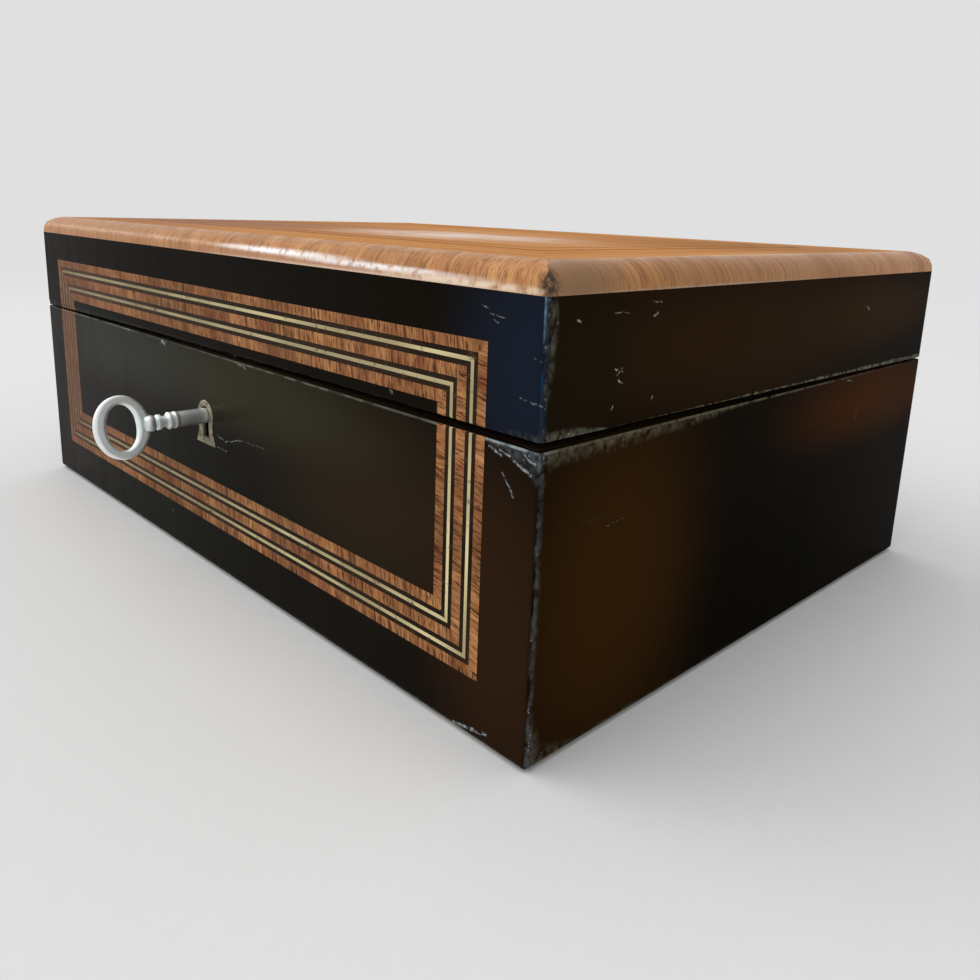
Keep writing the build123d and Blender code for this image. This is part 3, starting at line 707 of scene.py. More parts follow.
# The ends stand away from the window, and their polish looks warmer and deeper; their warm brown glows and dark
# zone are painted reflections
CASE_END_POLISH = EbonisedPolish(
    "ebonised_pear_french_polished_case_ends", **CASE_WEAR, level=0.003, rubbed="#5d5848",
    patches=tones(
        Face.END, (-70.0, 34.0, 50.0, 70.0, "#331f09", 1.0), (10.0, 18.0, 62.0, 40.0, "#0b0902", 1.0),
        (60.0, 62.0, 80.0, 18.0, "#3b1e05", 1.0),
    ),
    scratches=scratched(
        Face.END, (47.8, 55.0, 50.2, 61.5, 0.16), (39.8, 69.6, 43.0, 69.0, 0.35),
        (-75.0, 50.4, -69.0, 51.0, 0.12), (-83.0, 53.0, -78.0, 53.4, 0.1),
    ),
)
# The moulding covers the lid's upper arris, which is measured too far up to show any wear
LID_WEAR_AND_GLINT = {
    "low": LID_LOW,
    "high": LID_HIGH + 30,
    "line_width": 0.85,
    "worn": (
        Patch((HALF_WIDTH, -96.9, 93.0), (0.5, 9.0, 20.0), strength=4.5),
        Patch((HALF_WIDTH, -93.0, LID_LOW), (0.6, 18.0, 5.0), strength=3.0),
        Patch((136.0, -HALF_DEPTH, LID_LOW), (9.0, 0.6, 4.0), strength=2.0),
    ),
    # The lid's near vertical arris carries a painted highlight line: blue-white high up, darker blue lower down
    # and grey-blue at its foot
    "arris_lines_and_glint": (
        Patch((*NEAR, 76.0), (2.0, 2.0, 10.0), "#2c3a3f", 0.4),
        Patch((*NEAR, 86.0), (1.4, 0.4, 15.0), "#24507c"),
        Patch((*NEAR, 98.0), (1.4, 0.4, 12.0), "#a4d2f8"),
    ),
}
# The lid front's blue patch at the near corner is a painted reflection, and its two darker patches, on the left
# and along the middle, are painted dark reflections
LID_POLISH = EbonisedPolish(
    "ebonised_pear_french_polished_lid", **LID_WEAR_AND_GLINT, level=0.012,
    patches=tones(
        Face.FRONT, (-70.0, 90.0, 120.0, 30.0, "#090400", 0.9), (60.0, 95.0, 90.0, 14.0, "#130f09", 1.0)
    ) + tones(Face.FRONT, (138.0, 86.0, 34.0, 44.0, "#171e2b", 1.0), deep=3.0),
    scratches=scratched(
        Face.FRONT, (122.6, 97.4, 124.4, 97.0, 0.2), (125.0, 96.3, 126.0, 95.8, 0.2),
        (126.8, 95.9, 129.4, 95.4, 0.18), (126.2, 94.9, 127.6, 94.5, 0.22), (134.0, 80.6, 140.0, 79.7, 0.2),
        (137.4, 88.9, 140.0, 88.4, 0.18), (93.0, 74.9, 93.8, 74.5, 0.5),
    ),
)
# The lid ends' warm brown patches are painted reflections of warm glows
LID_END_POLISH = EbonisedPolish(
    "ebonised_pear_french_polished_lid_ends", **LID_WEAR_AND_GLINT, level=0.003, rubbed="#6e6f5e", chipped="#a8a99c",
    patches=tones(
        Face.END, (-20.0, 88.0, 140.0, 26.0, "#2b1c0e", 1.0), (-86.0, 88.0, 22.0, 30.0, "#1d170c", 0.8),
        (55.0, 90.0, 60.0, 14.0, "#30200f", 1.0),
    ),
    scratches=scratched(
        Face.END, (-75.2, 85.0, -72.8, 84.2, 0.25), (-74.6, 83.6, -72.6, 84.8, 0.2),
        (-73.8, 82.6, -72.4, 81.4, 0.25), (-88.0, 95.9, -87.2, 95.5, 0.3), (-76.6, 96.6, -71.8, 96.2, 0.14),
        (-63.6, 98.3, -60.5, 97.9, 0.16), (46.8, 91.2, 48.6, 90.4, 0.3), (-63.0, 95.2, -61.8, 95.5, 0.35),
        (-75.6, 76.6, -75.1, 77.3, 0.3), (-61.8, 76.6, -61.2, 77.4, 0.3),
    ),
)
# The inlay is painted greyer and duller towards its left end, a painted glare; the crossbanding also has a
# faint duller tone across its middle
LEFT_GLARE_ON_PALE_LINE = tones(
    Face.FRONT, (-60.0, 50.0, 180.0, 90.0, "#85775c", 0.85), (-124.0, 50.0, 60.0, 90.0, "#75604f", 0.95)
)
LEFT_GLARE_ON_DARK_LINE = tones(
    Face.FRONT, (-80.0, 50.0, 160.0, 90.0, "#3c2c1f", 0.7), (-124.0, 50.0, 90.0, 90.0, "#533c2d", 0.95)
)
GLARE_ON_CROSSBAND = tones(
    Face.FRONT, (-124.0, 50.0, 90.0, 90.0, "#6e4b38", 0.8), (20.0, 53.0, 150.0, 60.0, "#7a573c", 0.3)
)
FRONT_CROSSBAND = Veneer(
    "kingwood_crossbanding_polished", lie=Lie.FRONT_FRAME, across=True, light="#c48d5c", middle="#94623c",
    dark="#2c160c", red="#743c26", line=0.7, length=7.0, leaf=11.0, pores=0.95, thickly=0.54, depth=0.85,
    roughness=0.32, level=0.02, patches=GLARE_ON_CROSSBAND,
)
MOULDING_TONES = {
    "across": True, "light": "#d0985e", "middle": "#b47c48", "dark": "#6b4226", "red": "#a0603a", "line": 0.8,
    "length": 6.0, "leaf": 23.0, "pores": 0.6, "thickly": 0.56, "unlike": 0.07, "depth": 0.6, "roughness": 0.28,
    "level": 0.12,
}
# The front length carries a painted highlight: a broken white streak on its curve, with a pinkish band and a
# pale line below it; the back length has a painted golden highlight along its top
MOULDING_X = Veneer(
    "kingwood_edge_moulding_front_and_back", lie=Lie.ALONG_X, **MOULDING_TONES,
    patches=(
        Patch((-80.0, -95.0, 103.0), (90.0, 20.0, 12.0), "#b07c55", 0.5),
        Patch((60.0, -97.0, 101.4), (100.0, 3.0, 2.0), "#b98d78", 0.6),
        Patch((70.0, -97.0, 100.7), (100.0, 3.0, 0.9), "#e6cfb8", 0.6),
        Patch((44.0, -96.2, 103.4), (46.0, 2.4, 1.3), "#fbf6f6", 1.0, 2.4),
        Patch((86.0, -96.6, 102.5), (46.0, 2.2, 1.1), "#fbf6f4", 0.95, 2.4),
        Patch((116.0, -96.9, 101.5), (44.0, 2.2, 1.3), "#f2dcc4", 0.9, 3.0),
        Patch((139.0, -96.2, 104.0), (2.4, 2.4, 8.0), "#33271c", 1.0, 1.3),
        Patch((60.0, 94.0, 106.6), (130.0, 5.0, 2.0), "#f4dca8", 0.8),
    ),
)
# The pale line along the inner top edge of the side lengths is a painted highlight, partly wear on the joint
MOULDING_Y = Veneer(
    "kingwood_edge_moulding_sides", lie=Lie.ALONG_Y, **MOULDING_TONES,
    patches=(
        Patch((138.0, 0.0, 103.0), (12.0, 130.0, 12.0), "#916540", 0.55),
        Patch((133.0, -10.0, 107.0), (0.9, 95.0, 2.0), "#e6cda4", 0.8),
        Patch((139.0, -88.0, 103.0), (12.0, 20.0, 10.0), "#86674a", 0.85),
        Patch((139.0, -95.6, 103.5), (5.0, 3.4, 8.0), "#3e3327", 1.0, 1.3),
        Patch((140.0, -40.0, 100.7), (2.0, 70.0, 0.7), "#a9a08c", 0.6, 2.0),
    ),
)
# The top's polish is clearest towards its front right, where a whitish patch broken into flecks is painted on
# as a sheen
TOP_TONES = {
    "light": "#c88b46", "middle": "#b87a3b", "dark": "#8a5628", "red": "#a96a31", "line": 1.6, "length": 70.0,
    "leaf": 400.0, "pores": 0.15, "depth": 0.45, "level": 0.02, "roughness": 0.5,
    "glossy": (Patch((34.0, -24.0, 107.0), (72.0, 40.0, 9.0), strength=0.22),),
    "patches": (
        Patch((-90.0, -40.0, 107.0), (130.0, 80.0, 9.0), "#94694e", 0.85),
        Patch((95.0, 40.0, 107.0), (80.0, 70.0, 9.0), "#946028", 0.7),
        Patch((22.0, -16.0, 107.0), (66.0, 46.0, 9.0), "#e4d3c8", 0.62, 16.0),
    ),
}
TOP_BORDER = Veneer("satinwood_border_polished", lie=Lie.TOP_FRAME, **TOP_TONES)
TOP_FIELD = Veneer("satinwood_field_polished", lie=Lie.ALONG_X, **TOP_TONES)
PALE_LINE = InlaidLine("boxwood_line_polished", clean="#dfd19f", dull="#aa9c76", patches=LEFT_GLARE_ON_PALE_LINE)
DARK_LINE = InlaidLine(
    "ebony_line_polished", clean="#1c130c", dull="#2d2116", dirt="#4a3a2a", roughness=0.4, patches=LEFT_GLARE_ON_DARK_LINE
)
TOP_LINE = InlaidLine(
    "ebony_line_on_top", clean="#150d07", dull="#1d130b", dirt="#38281a", roughness=0.6, level=0.0
)
STAINED = {
    "light": "#3a2c20", "middle": "#2a2018", "dark": "#15100c", "red": "#2f2218", "length": 50.0,
    "leaf": 900.0, "roughness": 0.5, "level": 0.12,
}
STAINED_X = Veneer("stained_beech_boards_along_x", lie=Lie.ALONG_X, **STAINED)
STAINED_Y = Veneer("stained_beech_boards_along_y", lie=Lie.ALONG_Y, **STAINED)
ROSEWOOD = {
    "light": "#8a4a2a", "middle": "#6b351d", "dark": "#2a130b", "red": "#542413", "length": 45.0, "leaf": 700.0,
    "pores": 0.7, "roughness": 0.32, "level": 0.25,
}
ROSEWOOD_X = Veneer("rosewood_linings_along_x", lie=Lie.ALONG_X, **ROSEWOOD)
ROSEWOOD_Y = Veneer("rosewood_linings_along_y", lie=Lie.ALONG_Y, **ROSEWOOD)
TRAY_FLOOR = Veneer(
    "rosewood_tray_floor_papered", lie=Lie.ALONG_X, papered=span("tray_floor")[1][2] - 0.1, **ROSEWOOD
)
GLAZED_PAPER = CutPile("glazed_paper_lining", deep="#7d2430", stroked="#8f323c", tuft=0.8, sheen=0.1)
SILK = WovenCloth("crimson_silk_woven")
VELVET = CutPile("crimson_silk_velvet")
BAIZE = CutPile("green_wool_baize", deep="#1f3a26", stroked="#33553a", tuft=0.7, sheen=0.3)
BRASS = WorkedMetal(
    "cast_brass_aged", clean="#b5a578", tarnish="#6f664a", lines=(0.3, 0.3, 8.0), patch=4.0, start=0.42,
    roughness=0.38, dullness=0.2,
)
STEEL = WorkedMetal(
    "filed_steel", clean="#a9a7a1", tarnish="#6a6259", lines=(9.0, 0.25, 0.25), patch=7.0, roughness=0.34
)
ESCUTCHEON_BRASS = WorkedMetal(
    "cast_brass_dull", clean="#98917a", tarnish="#5f5b49", lines=(0.3, 0.3, 8.0), patch=3.0, start=0.45,
    roughness=0.4, dullness=0.15,
)
# The key's stem is painted dark along its underside, grey and then near black: a painted shade
NICKEL = WorkedMetal(
    "nickel_plated_steel_worn", clean="#f4fbfb", tarnish="#d2dbd7", lines=(3.0, 14.0, 3.0), patch=4.0,
    start=0.58, roughness=0.38, dullness=0.1,
    patches=(
        Patch((0.0, -104.0, 47.6), (6.0, 13.0, 3.0), "#34362f", 0.9),
        Patch((0.0, -102.0, 50.0), (6.0, 7.0, 4.0), "#7d8284", 0.6),
    ),
)

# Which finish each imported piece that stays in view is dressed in
DRESS: dict[Finish, tuple[str, ...]] = {
    CASE_POLISH: ("case_front_veneer", "case_back_veneer"),
    CASE_END_POLISH: ("case_left_veneer", "case_right_veneer"),
    LID_POLISH: ("lid_front_veneer", "lid_back_veneer"),
    LID_END_POLISH: ("lid_left_veneer", "lid_right_veneer"),
    FRONT_CROSSBAND: ("case_crossbanding", "lid_crossbanding"),
    PALE_LINE: ("case_pale_stringing", "lid_pale_stringing"),
    DARK_LINE: ("case_dark_stringing", "lid_dark_stringing"),
    TOP_LINE: ("lid_top_lines",),
    TOP_BORDER: ("lid_top_border",),
    TOP_FIELD: ("lid_top_field", "lid_top_band"),
    STAINED_X: (
        "case_front_board", "case_back_board", "lid_front_board", "lid_back_board", "bottom_board",
        "lid_top_board",
    ),
    STAINED_Y: ("case_left_board", "case_right_board", "lid_left_board", "lid_right_board"),
    ROSEWOOD_X: ("tray_front", "tray_back", "case_liners", "lid_liners", "tray_ledges"),
    ROSEWOOD_Y: ("tray_ends", "tray_dividers"),
    TRAY_FLOOR: ("tray_floor",),
    BRASS: ("hinge_case_leaves", "hinge_lid_leaves", "hinge_pins", "lock_curtain"),
    STEEL: (
        "case_screws", "lid_screws", "lock_case", "lock_cap", "lock_drill_pin", "lock_bolt", "bolt_spring",
        "link_plate",
    ),
}


def linked(name: str, data: bpy.types.ID) -> bpy.types.Object:
    """Put an object with this data in the scene."""
    obj = bpy.data.objects.new(name, data)
    bpy.context.scene.collection.objects.link(obj)
    return obj


def piece_from(name: str, bm: Mesh, finish: Finish, sharp: float = 40.0) -> bpy.types.Object:
    """Turn a built mesh into a piece of the object.

    Args:
        name: the piece's name.
        bm: the mesh, in metres in the box's own frame; it is used up.
        finish: what the piece is dressed in.
        sharp: edges that turn by more degrees than this stay crisp.

    Returns:
        The new object.
    """
    bmesh.ops.recalc_face_normals(bm, faces=bm.faces)
    for face in bm.faces:
        face.smooth = True
    for edge in bm.edges:
        edge.smooth = len(edge.link_faces) != 2 or edge.calc_face_angle(0.0) < math.radians(sharp)
    mesh = bpy.data.meshes.new(name)
    bm.to_mesh(mesh)
    bm.free()
    mesh.materials.append(finish.material())
    return linked(name, mesh)


def grid_faces(bm: Mesh, rows: Sequence[Sequence[bmesh.types.BMVert]], closed: bool = False) -> None:
    """Skin rows of vertices with four-sided faces.

    Args:
        bm: the mesh that holds them.
        rows: the rows, all of one length.
        closed: True if each row's end meets its start.
    """
    count = len(rows[0])
    for row, after in zip(rows, rows[1:]):
        for k in range(count if closed else count - 1):
            bm.faces.new((row[k], row[(k + 1) % count], after[(k + 1) % count], after[k]))


def thickened(bm: Mesh, move: Point) -> None:
    """Give the flat faces of a mesh a thickness along a move in metres, and turn them outwards."""
    made = bmesh.ops.extrude_face_region(bm, geom=bm.faces[:])
    moved = [v for v in made["geom"] if isinstance(v, bmesh.types.BMVert)]
    bmesh.ops.translate(bm, verts=moved, vec=move)
    bmesh.ops.recalc_face_normals(bm, faces=bm.faces)


def angles(count: int) -> list[float]:
    """Part a full turn evenly, in radians."""
    return [2 * math.pi * k / count for k in range(count)]


def applied(obj: bpy.types.Object) -> None:
    """Replace an object's mesh by what its modifiers make of it, and drop them."""
    graph = bpy.context.evaluated_depsgraph_get()
    made = bpy.data.meshes.new_from_object(obj.evaluated_get(graph), depsgraph=graph)
    obj.modifiers.clear()
    made.name = obj.data.name
    obj.data = made


@dataclass
class MovedRim:
    """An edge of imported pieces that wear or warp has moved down. Sizes in millimetres."""

    body: Body
    ending: str
    slots: dict[str, str]
    step: float
    sharp: float = 40.0

    def drop(self, x: float, y: float, z: float) -> float:
        """Give how far down a point has moved; each kind of rim has its own way."""
        raise NotImplementedError

    def bent(self, name: str) -> Mesh:
        """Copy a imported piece, cut it across at even steps so that it can bend, and move its edge."""
        bm = bmesh.new()
        bm.from_mesh(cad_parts[name].data)
        for normal, half in ((Vector((1, 0, 0)), HALF_WIDTH), (Vector((0, 1, 0)), HALF_DEPTH)):
            for k in range(1, int(2 * half / self.step) + 1):
                place = normal * (k * self.step - half) * MM
                everything = bm.verts[:] + bm.edges[:] + bm.faces[:]
                bmesh.ops.bisect_plane(bm, geom=everything, plane_co=place, plane_no=normal)
        for vert in bm.verts:
            vert.co.z -= self.drop(*(vert.co / MM)) * MM
        return bm

    def build(self) -> None:
        """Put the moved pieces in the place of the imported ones."""
        for name, slot in self.slots.items():
            finish = next(finish for finish, names in DRESS.items() if name in names)
            piece = piece_from(f"{name}_{self.ending}", self.bent(name), finish, self.sharp)
            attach(piece, self.body)
            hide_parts(name)
        log.info("%s rim: %s", self.ending, ", ".join(self.slots))


@dataclass
class WornRim(MovedRim):
    """The case's upper outer arris, rubbed down to a slope by opening and shutting."""

    wear: float = 0.8
    slope: float = 1.5
    wave: float = 23.0
    near: float = 0.05

    def drop(self, x: float, y: float, z: float) -> float:
        """Wear the points of the upper edge the more, the nearer they are to the outside."""
        if CASE_HIGH - z > self.near:
            return 0.0
        share = max(0.0, 1 - min(HALF_WIDTH - x, HALF_DEPTH + y) / self.slope)
        along = (x + y) / self.wave
        return self.wear * share * (1 + 0.25 * math.sin(along) + 0.1 * math.sin(along * 3.7))


@dataclass
class SettledRim(MovedRim):
    """The lid's lower edge, which has settled towards the case at its front left corner."""

    most: float = 1.5
    near: float = 0.1

    def drop(self, x: float, y: float, z: float) -> float:
        """Lower the points of the underside towards the corner; it slopes down to the back."""
        slope = (LID_LOW - span("lid_back_veneer")[0][2]) / 2 / HALF_DEPTH
        if abs(z - LID_LOW + slope * (y + HALF_DEPTH)) >= self.near:
            return 0.0
        return self.most * ((0.5 - x / 2 / HALF_WIDTH) * (0.5 - y / 2 / HALF_DEPTH)) ** 3


# Half sections of the key's stem: how far from the bow's root, and the radius there
TURNED_NECK = (
    (-1.6, 0.0), (-1.6, 2.0), (-1.1, 2.45), (-0.3, 2.6), (0.6, 2.55), (1.3, 2.3), (1.9, 1.95), (2.15, 1.6),
    (2.25, 2.05), (2.45, 2.35), (3.3, 2.35), (3.5, 2.05), (3.65, 1.75), (4.6, 1.7), (5.4, 1.8), (5.6, 2.3),
    (5.8, 2.6), (6.75, 2.6), (6.95, 2.3), (7.1, 2.0), (7.35, 2.0), (7.5, 2.3), (7.7, 2.6), (8.55, 2.6),
    (8.75, 2.5), (8.85, 2.4),
)


@dataclass
class Key:
    """Barrel key with an oval bow, a bell neck, turned rings and a bit. Sizes in millimetres."""

    bow_width: float = 15.8
    bow_height: float = 18.8
    bow_side: float = 3.2
    bow_band: float = 2.6
    bow_thickness: float = 2.3
    bow_lean: float = 14.0
    squareness: float = 7.0
    barrel: float = 2.4
    bore: float = 1.25
    bore_depth: float = 14.0
    bit_reach: float = 5.9
    bit_root: float = 1.6
    bit_thickness: float = 2.1
    bit_length: float = 3.4
    ward: float = 0.4
    ward_depth: float = 1.7
    soften: float = 0.15
    around: int = 96
    section: int = 28

    def __post_init__(self) -> None:
        """Take the key's axis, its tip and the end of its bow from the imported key."""
        low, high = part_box("key")
        self.axis = (low.z + high.z) / 2 / MM
        self.bow_end = low.y / MM
        self.tip = high.y / MM

    def bow(self) -> Mesh:
        """Build the oval ring, flat-sided with rounded edges and thicker at its root."""
        bm = bmesh.new()
        middle = self.bow_end + self.bow_width / 2
        wide = (self.bow_width - self.bow_side) / 2
        tall = (self.bow_height - self.bow_band) / 2
        rows = []
        for a in angles(self.around):
            across, up = math.cos(a), math.sin(a)
            root = max(0.0, across) ** 6
            band = (self.bow_side * across**2 + self.bow_band * up**2) / 2 * (1 + 0.14 * root)
            thick = self.bow_thickness / 2 * (1 + 0.1 * root)
            centre = Vector((0, middle + wide * across, self.axis + tall * up))
            out = Vector((0, across / wide, up / tall)).normalized()
            row = []
            for b in angles(self.section):
                # A squarish oval: flat faces that roll over into the edges
                c, d = math.cos(b), math.sin(b)
                grow = (abs(c) ** self.squareness + abs(d) ** self.squareness) ** (-1 / self.squareness)
                point = centre + out * (band * c * grow) + Vector((thick * d * grow, 0, 0))
                row.append(bm.verts.new(point * MM))
            rows.append(row)
        grid_faces(bm, rows + rows[:1], closed=True)
        lean = Matrix.Rotation(math.radians(-self.bow_lean), 3, "Y")
        bmesh.ops.rotate(bm, cent=(0, 0, self.axis * MM), matrix=lean, verts=bm.verts)
        return bm

    def stem(self) -> Mesh:
        """Turn the bell, the rings, the barrel and its bore in one piece."""
        root = self.bow_end + self.bow_width
        profile = [(root + place, radius) for place, radius in TURNED_NECK] + [
            (self.tip - 0.25, self.barrel), (self.tip, self.barrel - 0.25), (self.tip, self.bore + 0.2),
            (self.tip - 0.2, self.bore), (self.tip - self.bore_depth, self.bore),
            (self.tip - self.bore_depth, 0.0),
        ]
        bm = bmesh.new()
        rings = [
            [
                bm.verts.new(Vector((radius * math.cos(a), y, self.axis + radius * math.sin(a))) * MM)
                for a in (angles(self.around) if radius else (0.0,))
            ]
            for y, radius in profile
        ]
        for ring, after in zip(rings, rings[1:]):
            for k in range(self.around):
                n = (k + 1) % self.around
                corners = [ring[0]] if len(ring) == 1 else [ring[k], ring[n]]
                corners += [after[0]] if len(after) == 1 else [after[n], after[k]]
                bm.faces.new(corners)
        return bm

    def bit(self) -> Mesh:
        """Cut the bit with its ward slot, with softened edges."""
        back, front = self.tip, self.tip - self.bit_length
        low, high = self.axis - self.bit_reach, self.axis - self.bit_root
        left, right = ((front + back) / 2 + side * self.ward for side in (-1, 1))
        outline = [
            (front, high), (front, low), (left, low), (left, low + self.ward_depth),
            (right, low + self.ward_depth), (right, low), (back, low), (back, high),
        ]
        bm = bmesh.new()
        bm.faces.new([bm.verts.new(Vector((-self.bit_thickness / 2, y, z)) * MM) for y, z in outline])
        thickened(bm, (self.bit_thickness * MM, 0, 0))
        offset = self.soften * MM
        bmesh.ops.bevel(bm, geom=bm.edges[:], offset=offset, segments=2, affect="EDGES", profile=0.5)
        return bm

    def build(self) -> None:
        """Weld the three parts into one key."""
        key = piece_from("key_with_oval_bow", self.stem(), NICKEL)
        parts = [piece_from("key_bow", self.bow(), NICKEL), piece_from("key_bit", self.bit(), NICKEL)]
        for part in parts:
            join = key.modifiers.new(part.name, "BOOLEAN")
            join.operation, join.solver, join.object = "UNION", "EXACT", part
        bpy.context.view_layer.update()
        applied(key)
        for part in parts:
            bpy.data.objects.remove(part)
        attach(key, Body.KEY)
        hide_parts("key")
        log.info("key: %d faces", len(key.data.polygons))


@dataclass
class Escutcheon:
    """Brass plate round the keyhole, with softened edges. Sizes in millimetres."""

    head: float = 4.85
    waist: float = 4.3
    skirt: float = 6.25
    hole: float = 2.95
    slot: float = 2.1
    slot_foot: float = 6.9
    soften: float = 0.22
    steps: int = 20

    def __post_init__(self) -> None:
        """Take the plate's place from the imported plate."""
        self.low, self.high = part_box("escutcheon")
        self.axis = self.high.z / MM - self.head

    def arc(self, radius: float, start: float) -> list[tuple[float, float]]:
        """Give an arc over the lock's axis, from an angle on the right to the same on the left."""
        turns = [start + (math.pi - 2 * start) * k / self.steps for k in range(self.steps + 1)]
        return [(radius * math.cos(a), self.axis + radius * math.sin(a)) for a in turns]

    def outline(self) -> list[tuple[float, float]]:
        """Give the outer outline, from the right of the skirt over the head to its left."""
        head = self.arc(self.head, math.asin(-math.sqrt(1 - (self.waist / self.head) ** 2)))
        foot, waist = self.low.z / MM, self.axis - self.head
        return [(self.skirt, foot), (self.waist, waist), *head, (-self.waist, waist), (-self.skirt, foot)]

    def keyhole(self) -> list[tuple[float, float]]:
        """Give the keyhole's outline, the same way round."""
        foot = self.axis - self.slot_foot
        return [(self.slot, foot), *self.arc(self.hole, -math.acos(self.slot / self.hole)), (-self.slot, foot)]

    def build(self) -> None:
        """Cut the plate from sheet and soften the edges of its face."""
        bm = bmesh.new()
        rims = []
        for points in (self.outline(), self.keyhole()):
            verts = [bm.verts.new((x * MM, self.low.y, z * MM)) for x, z in points]
            rims += [bm.edges.new((a, b)) for a, b in zip(verts, verts[1:] + verts[:1])]
        bmesh.ops.triangle_fill(bm, use_beauty=True, edges=list(rims))
        thickened(bm, (0, self.high.y - self.low.y, 0))
        offset, rims = self.soften * MM, [edge for edge in rims if edge.is_valid]
        bmesh.ops.bevel(bm, geom=rims, offset=offset, segments=3, affect="EDGES", profile=0.5)
        plate = piece_from("escutcheon_plate", bm, ESCUTCHEON_BRASS, 30.0)
        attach(plate, Body.CASE)
        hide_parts("escutcheon")
        log.info("escutcheon: %d faces", len(plate.data.polygons))


@dataclass
class EdgeMoulding:
    """The lid's crossbanded edge moulding: four mitred lengths with a little wear. In millimetres."""

    inset: float = 7.0
    flat: float = 0.8
    corner: float = 1.2
    step: float = 1.6
    fine_step: float = 0.4
    fine_count: int = 15
    arc: int = 16
    waver: float = 0.05
    waver_length: float = 18.0
    chip: float = 0.35
    chip_reach: float = 1.2
    grain: float = 1.3

    def __post_init__(self) -> None:
        """Take the moulding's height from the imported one."""
        (_, _, self.foot), (_, _, self.top) = span("lid_front_moulding")

    def profile(self) -> list[tuple[float, float]]:
        """Give the section as insets from the side and heights, from the outer foot over the top."""
        rise = self.top - self.foot - self.flat
        turns = [math.pi / 2 * k / self.arc for k in range(self.arc + 1)]
        points = [(self.inset * (1 - math.cos(a)), self.foot + self.flat + rise * math.sin(a)) for a in turns]
        return [(0.0, self.foot)] + points + [(self.inset, self.foot)]

    def length_points(self, half: float) -> list[float]:
        """Space the sections along one length, closer near its mitres."""
        fine = [half - self.fine_step * k for k in range(self.fine_count)]
        count = round(2 * fine[-1] / self.step)
        middle = [-fine[-1] + 2 * fine[-1] * k / count for k in range(1, count)]
        return [-p for p in fine] + middle + fine[::-1]

    def worn(self, point: Vector, gap: float, seed: float) -> Vector:
        """Move a point of the surface by the moulding's unevenness and its worn mitre.

        Args:
            point: the point in millimetres.
            gap: how far the nearest mitre is.
            seed: a number of its own for each length.

        Returns:
            The moved point, never outside the moulding's own form.
        """
        slow = noise.noise(Vector((point.x / self.waver_length, point.y / self.waver_length, seed)))
        fine = noise.noise(point / self.grain + Vector((0, 0, seed)))
        chipped = max(0.0, 1 - gap / self.chip_reach) * max(0.0, 0.5 + fine)
        inwards = (Vector((0, 0, self.foot - 20)) - point).normalized()
        return point + inwards * (self.waver * (1 + slow) + self.chip * chipped)

    def length(self, half_long: float, half_short: float, seed: float) -> Mesh:
        """Build the front length of a box of these half sizes, before it is turned into place."""
        bm = bmesh.new()
        rows = []
        for x in self.length_points(half_long):
            row = []
            for inset, z in self.profile():
                y = -half_short + inset
                reach = half_long - inset
                x_here = max(-reach, min(reach, x))
                spot = Vector((abs(x_here) - (half_long - self.corner), -y - (half_short - self.corner), 0))
                if spot.x > 0 and spot.y > 0:
                    # The corner is rounded: the square's outline is drawn in to a quarter circle
                    spot *= max(spot.x, spot.y) / spot.length
                    x_here = math.copysign(half_long - self.corner + spot.x, x_here)
                    y = -(half_short - self.corner + spot.y)
                point = Vector((x_here, y, z))
                if z > self.foot and inset < self.inset:
                    point = self.worn(point, reach - abs(x_here), seed)
                row.append(bm.verts.new(point * MM))
            rows.append(row)
        grid_faces(bm, rows, closed=True)
        for row in (rows[0], rows[-1]):
            bm.faces.new(row)
        bmesh.ops.remove_doubles(bm, verts=bm.verts, dist=0.02 * MM)
        bmesh.ops.dissolve_degenerate(bm, dist=0.005 * MM, edges=bm.edges)
        return bm

    def build(self) -> None:
        """Place the four lengths."""
        long_side, short_side = (HALF_WIDTH, HALF_DEPTH, MOULDING_X), (HALF_DEPTH, HALF_WIDTH, MOULDING_Y)
        sides = (("front", long_side), ("right", short_side), ("back", long_side), ("left", short_side))
        for number, (name, (half_long, half_short, finish)) in enumerate(sides):
            bm = self.length(half_long, half_short, number * 5.3)
            bm.transform(Matrix.Rotation(math.radians(number * 90), 4, "Z"))
            side = piece_from(f"edge_moulding_{name}", bm, finish, 50.0)
            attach(side, Body.LID)
            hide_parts(f"lid_{name}_moulding")
        log.info("edge moulding: four lengths")


def slab(
    low: Point, high: Point, spacing: float, height: Callable[[float, float], float], down: bool = False
) -> Mesh:
    """Build a closed slab with one shaped face, from an even grid.

    Args:
        low: its lowest corner in millimetres.
        high: its highest corner.
        spacing: the grid's spacing.
        height: the shaped face's height over the grid, in millimetres.
        down: True if the shaped face is the lower one.

    Returns:
        The mesh, in metres.
    """
    bm = bmesh.new()
    counts = [max(2, round((high[i] - low[i]) / spacing)) for i in (0, 1)]
    places = [[low[i] + (high[i] - low[i]) * k / counts[i] for k in range(counts[i] + 1)] for i in (0, 1)]
    flat = high[2] if down else low[2]
    shaped = [[bm.verts.new((x * MM, y * MM, height(x, y) * MM)) for x in places[0]] for y in places[1]]
    plain = [[bm.verts.new((x * MM, y * MM, flat * MM)) for x in places[0]] for y in places[1]]
    grid_faces(bm, shaped)
    grid_faces(bm, plain)
    for i in (0, -1):
        grid_faces(bm, [shaped[i], plain[i]])
    for i in (0, -1):
        grid_faces(bm, [[row[i] for row in shaped], [row[i] for row in plain]])
    return bm


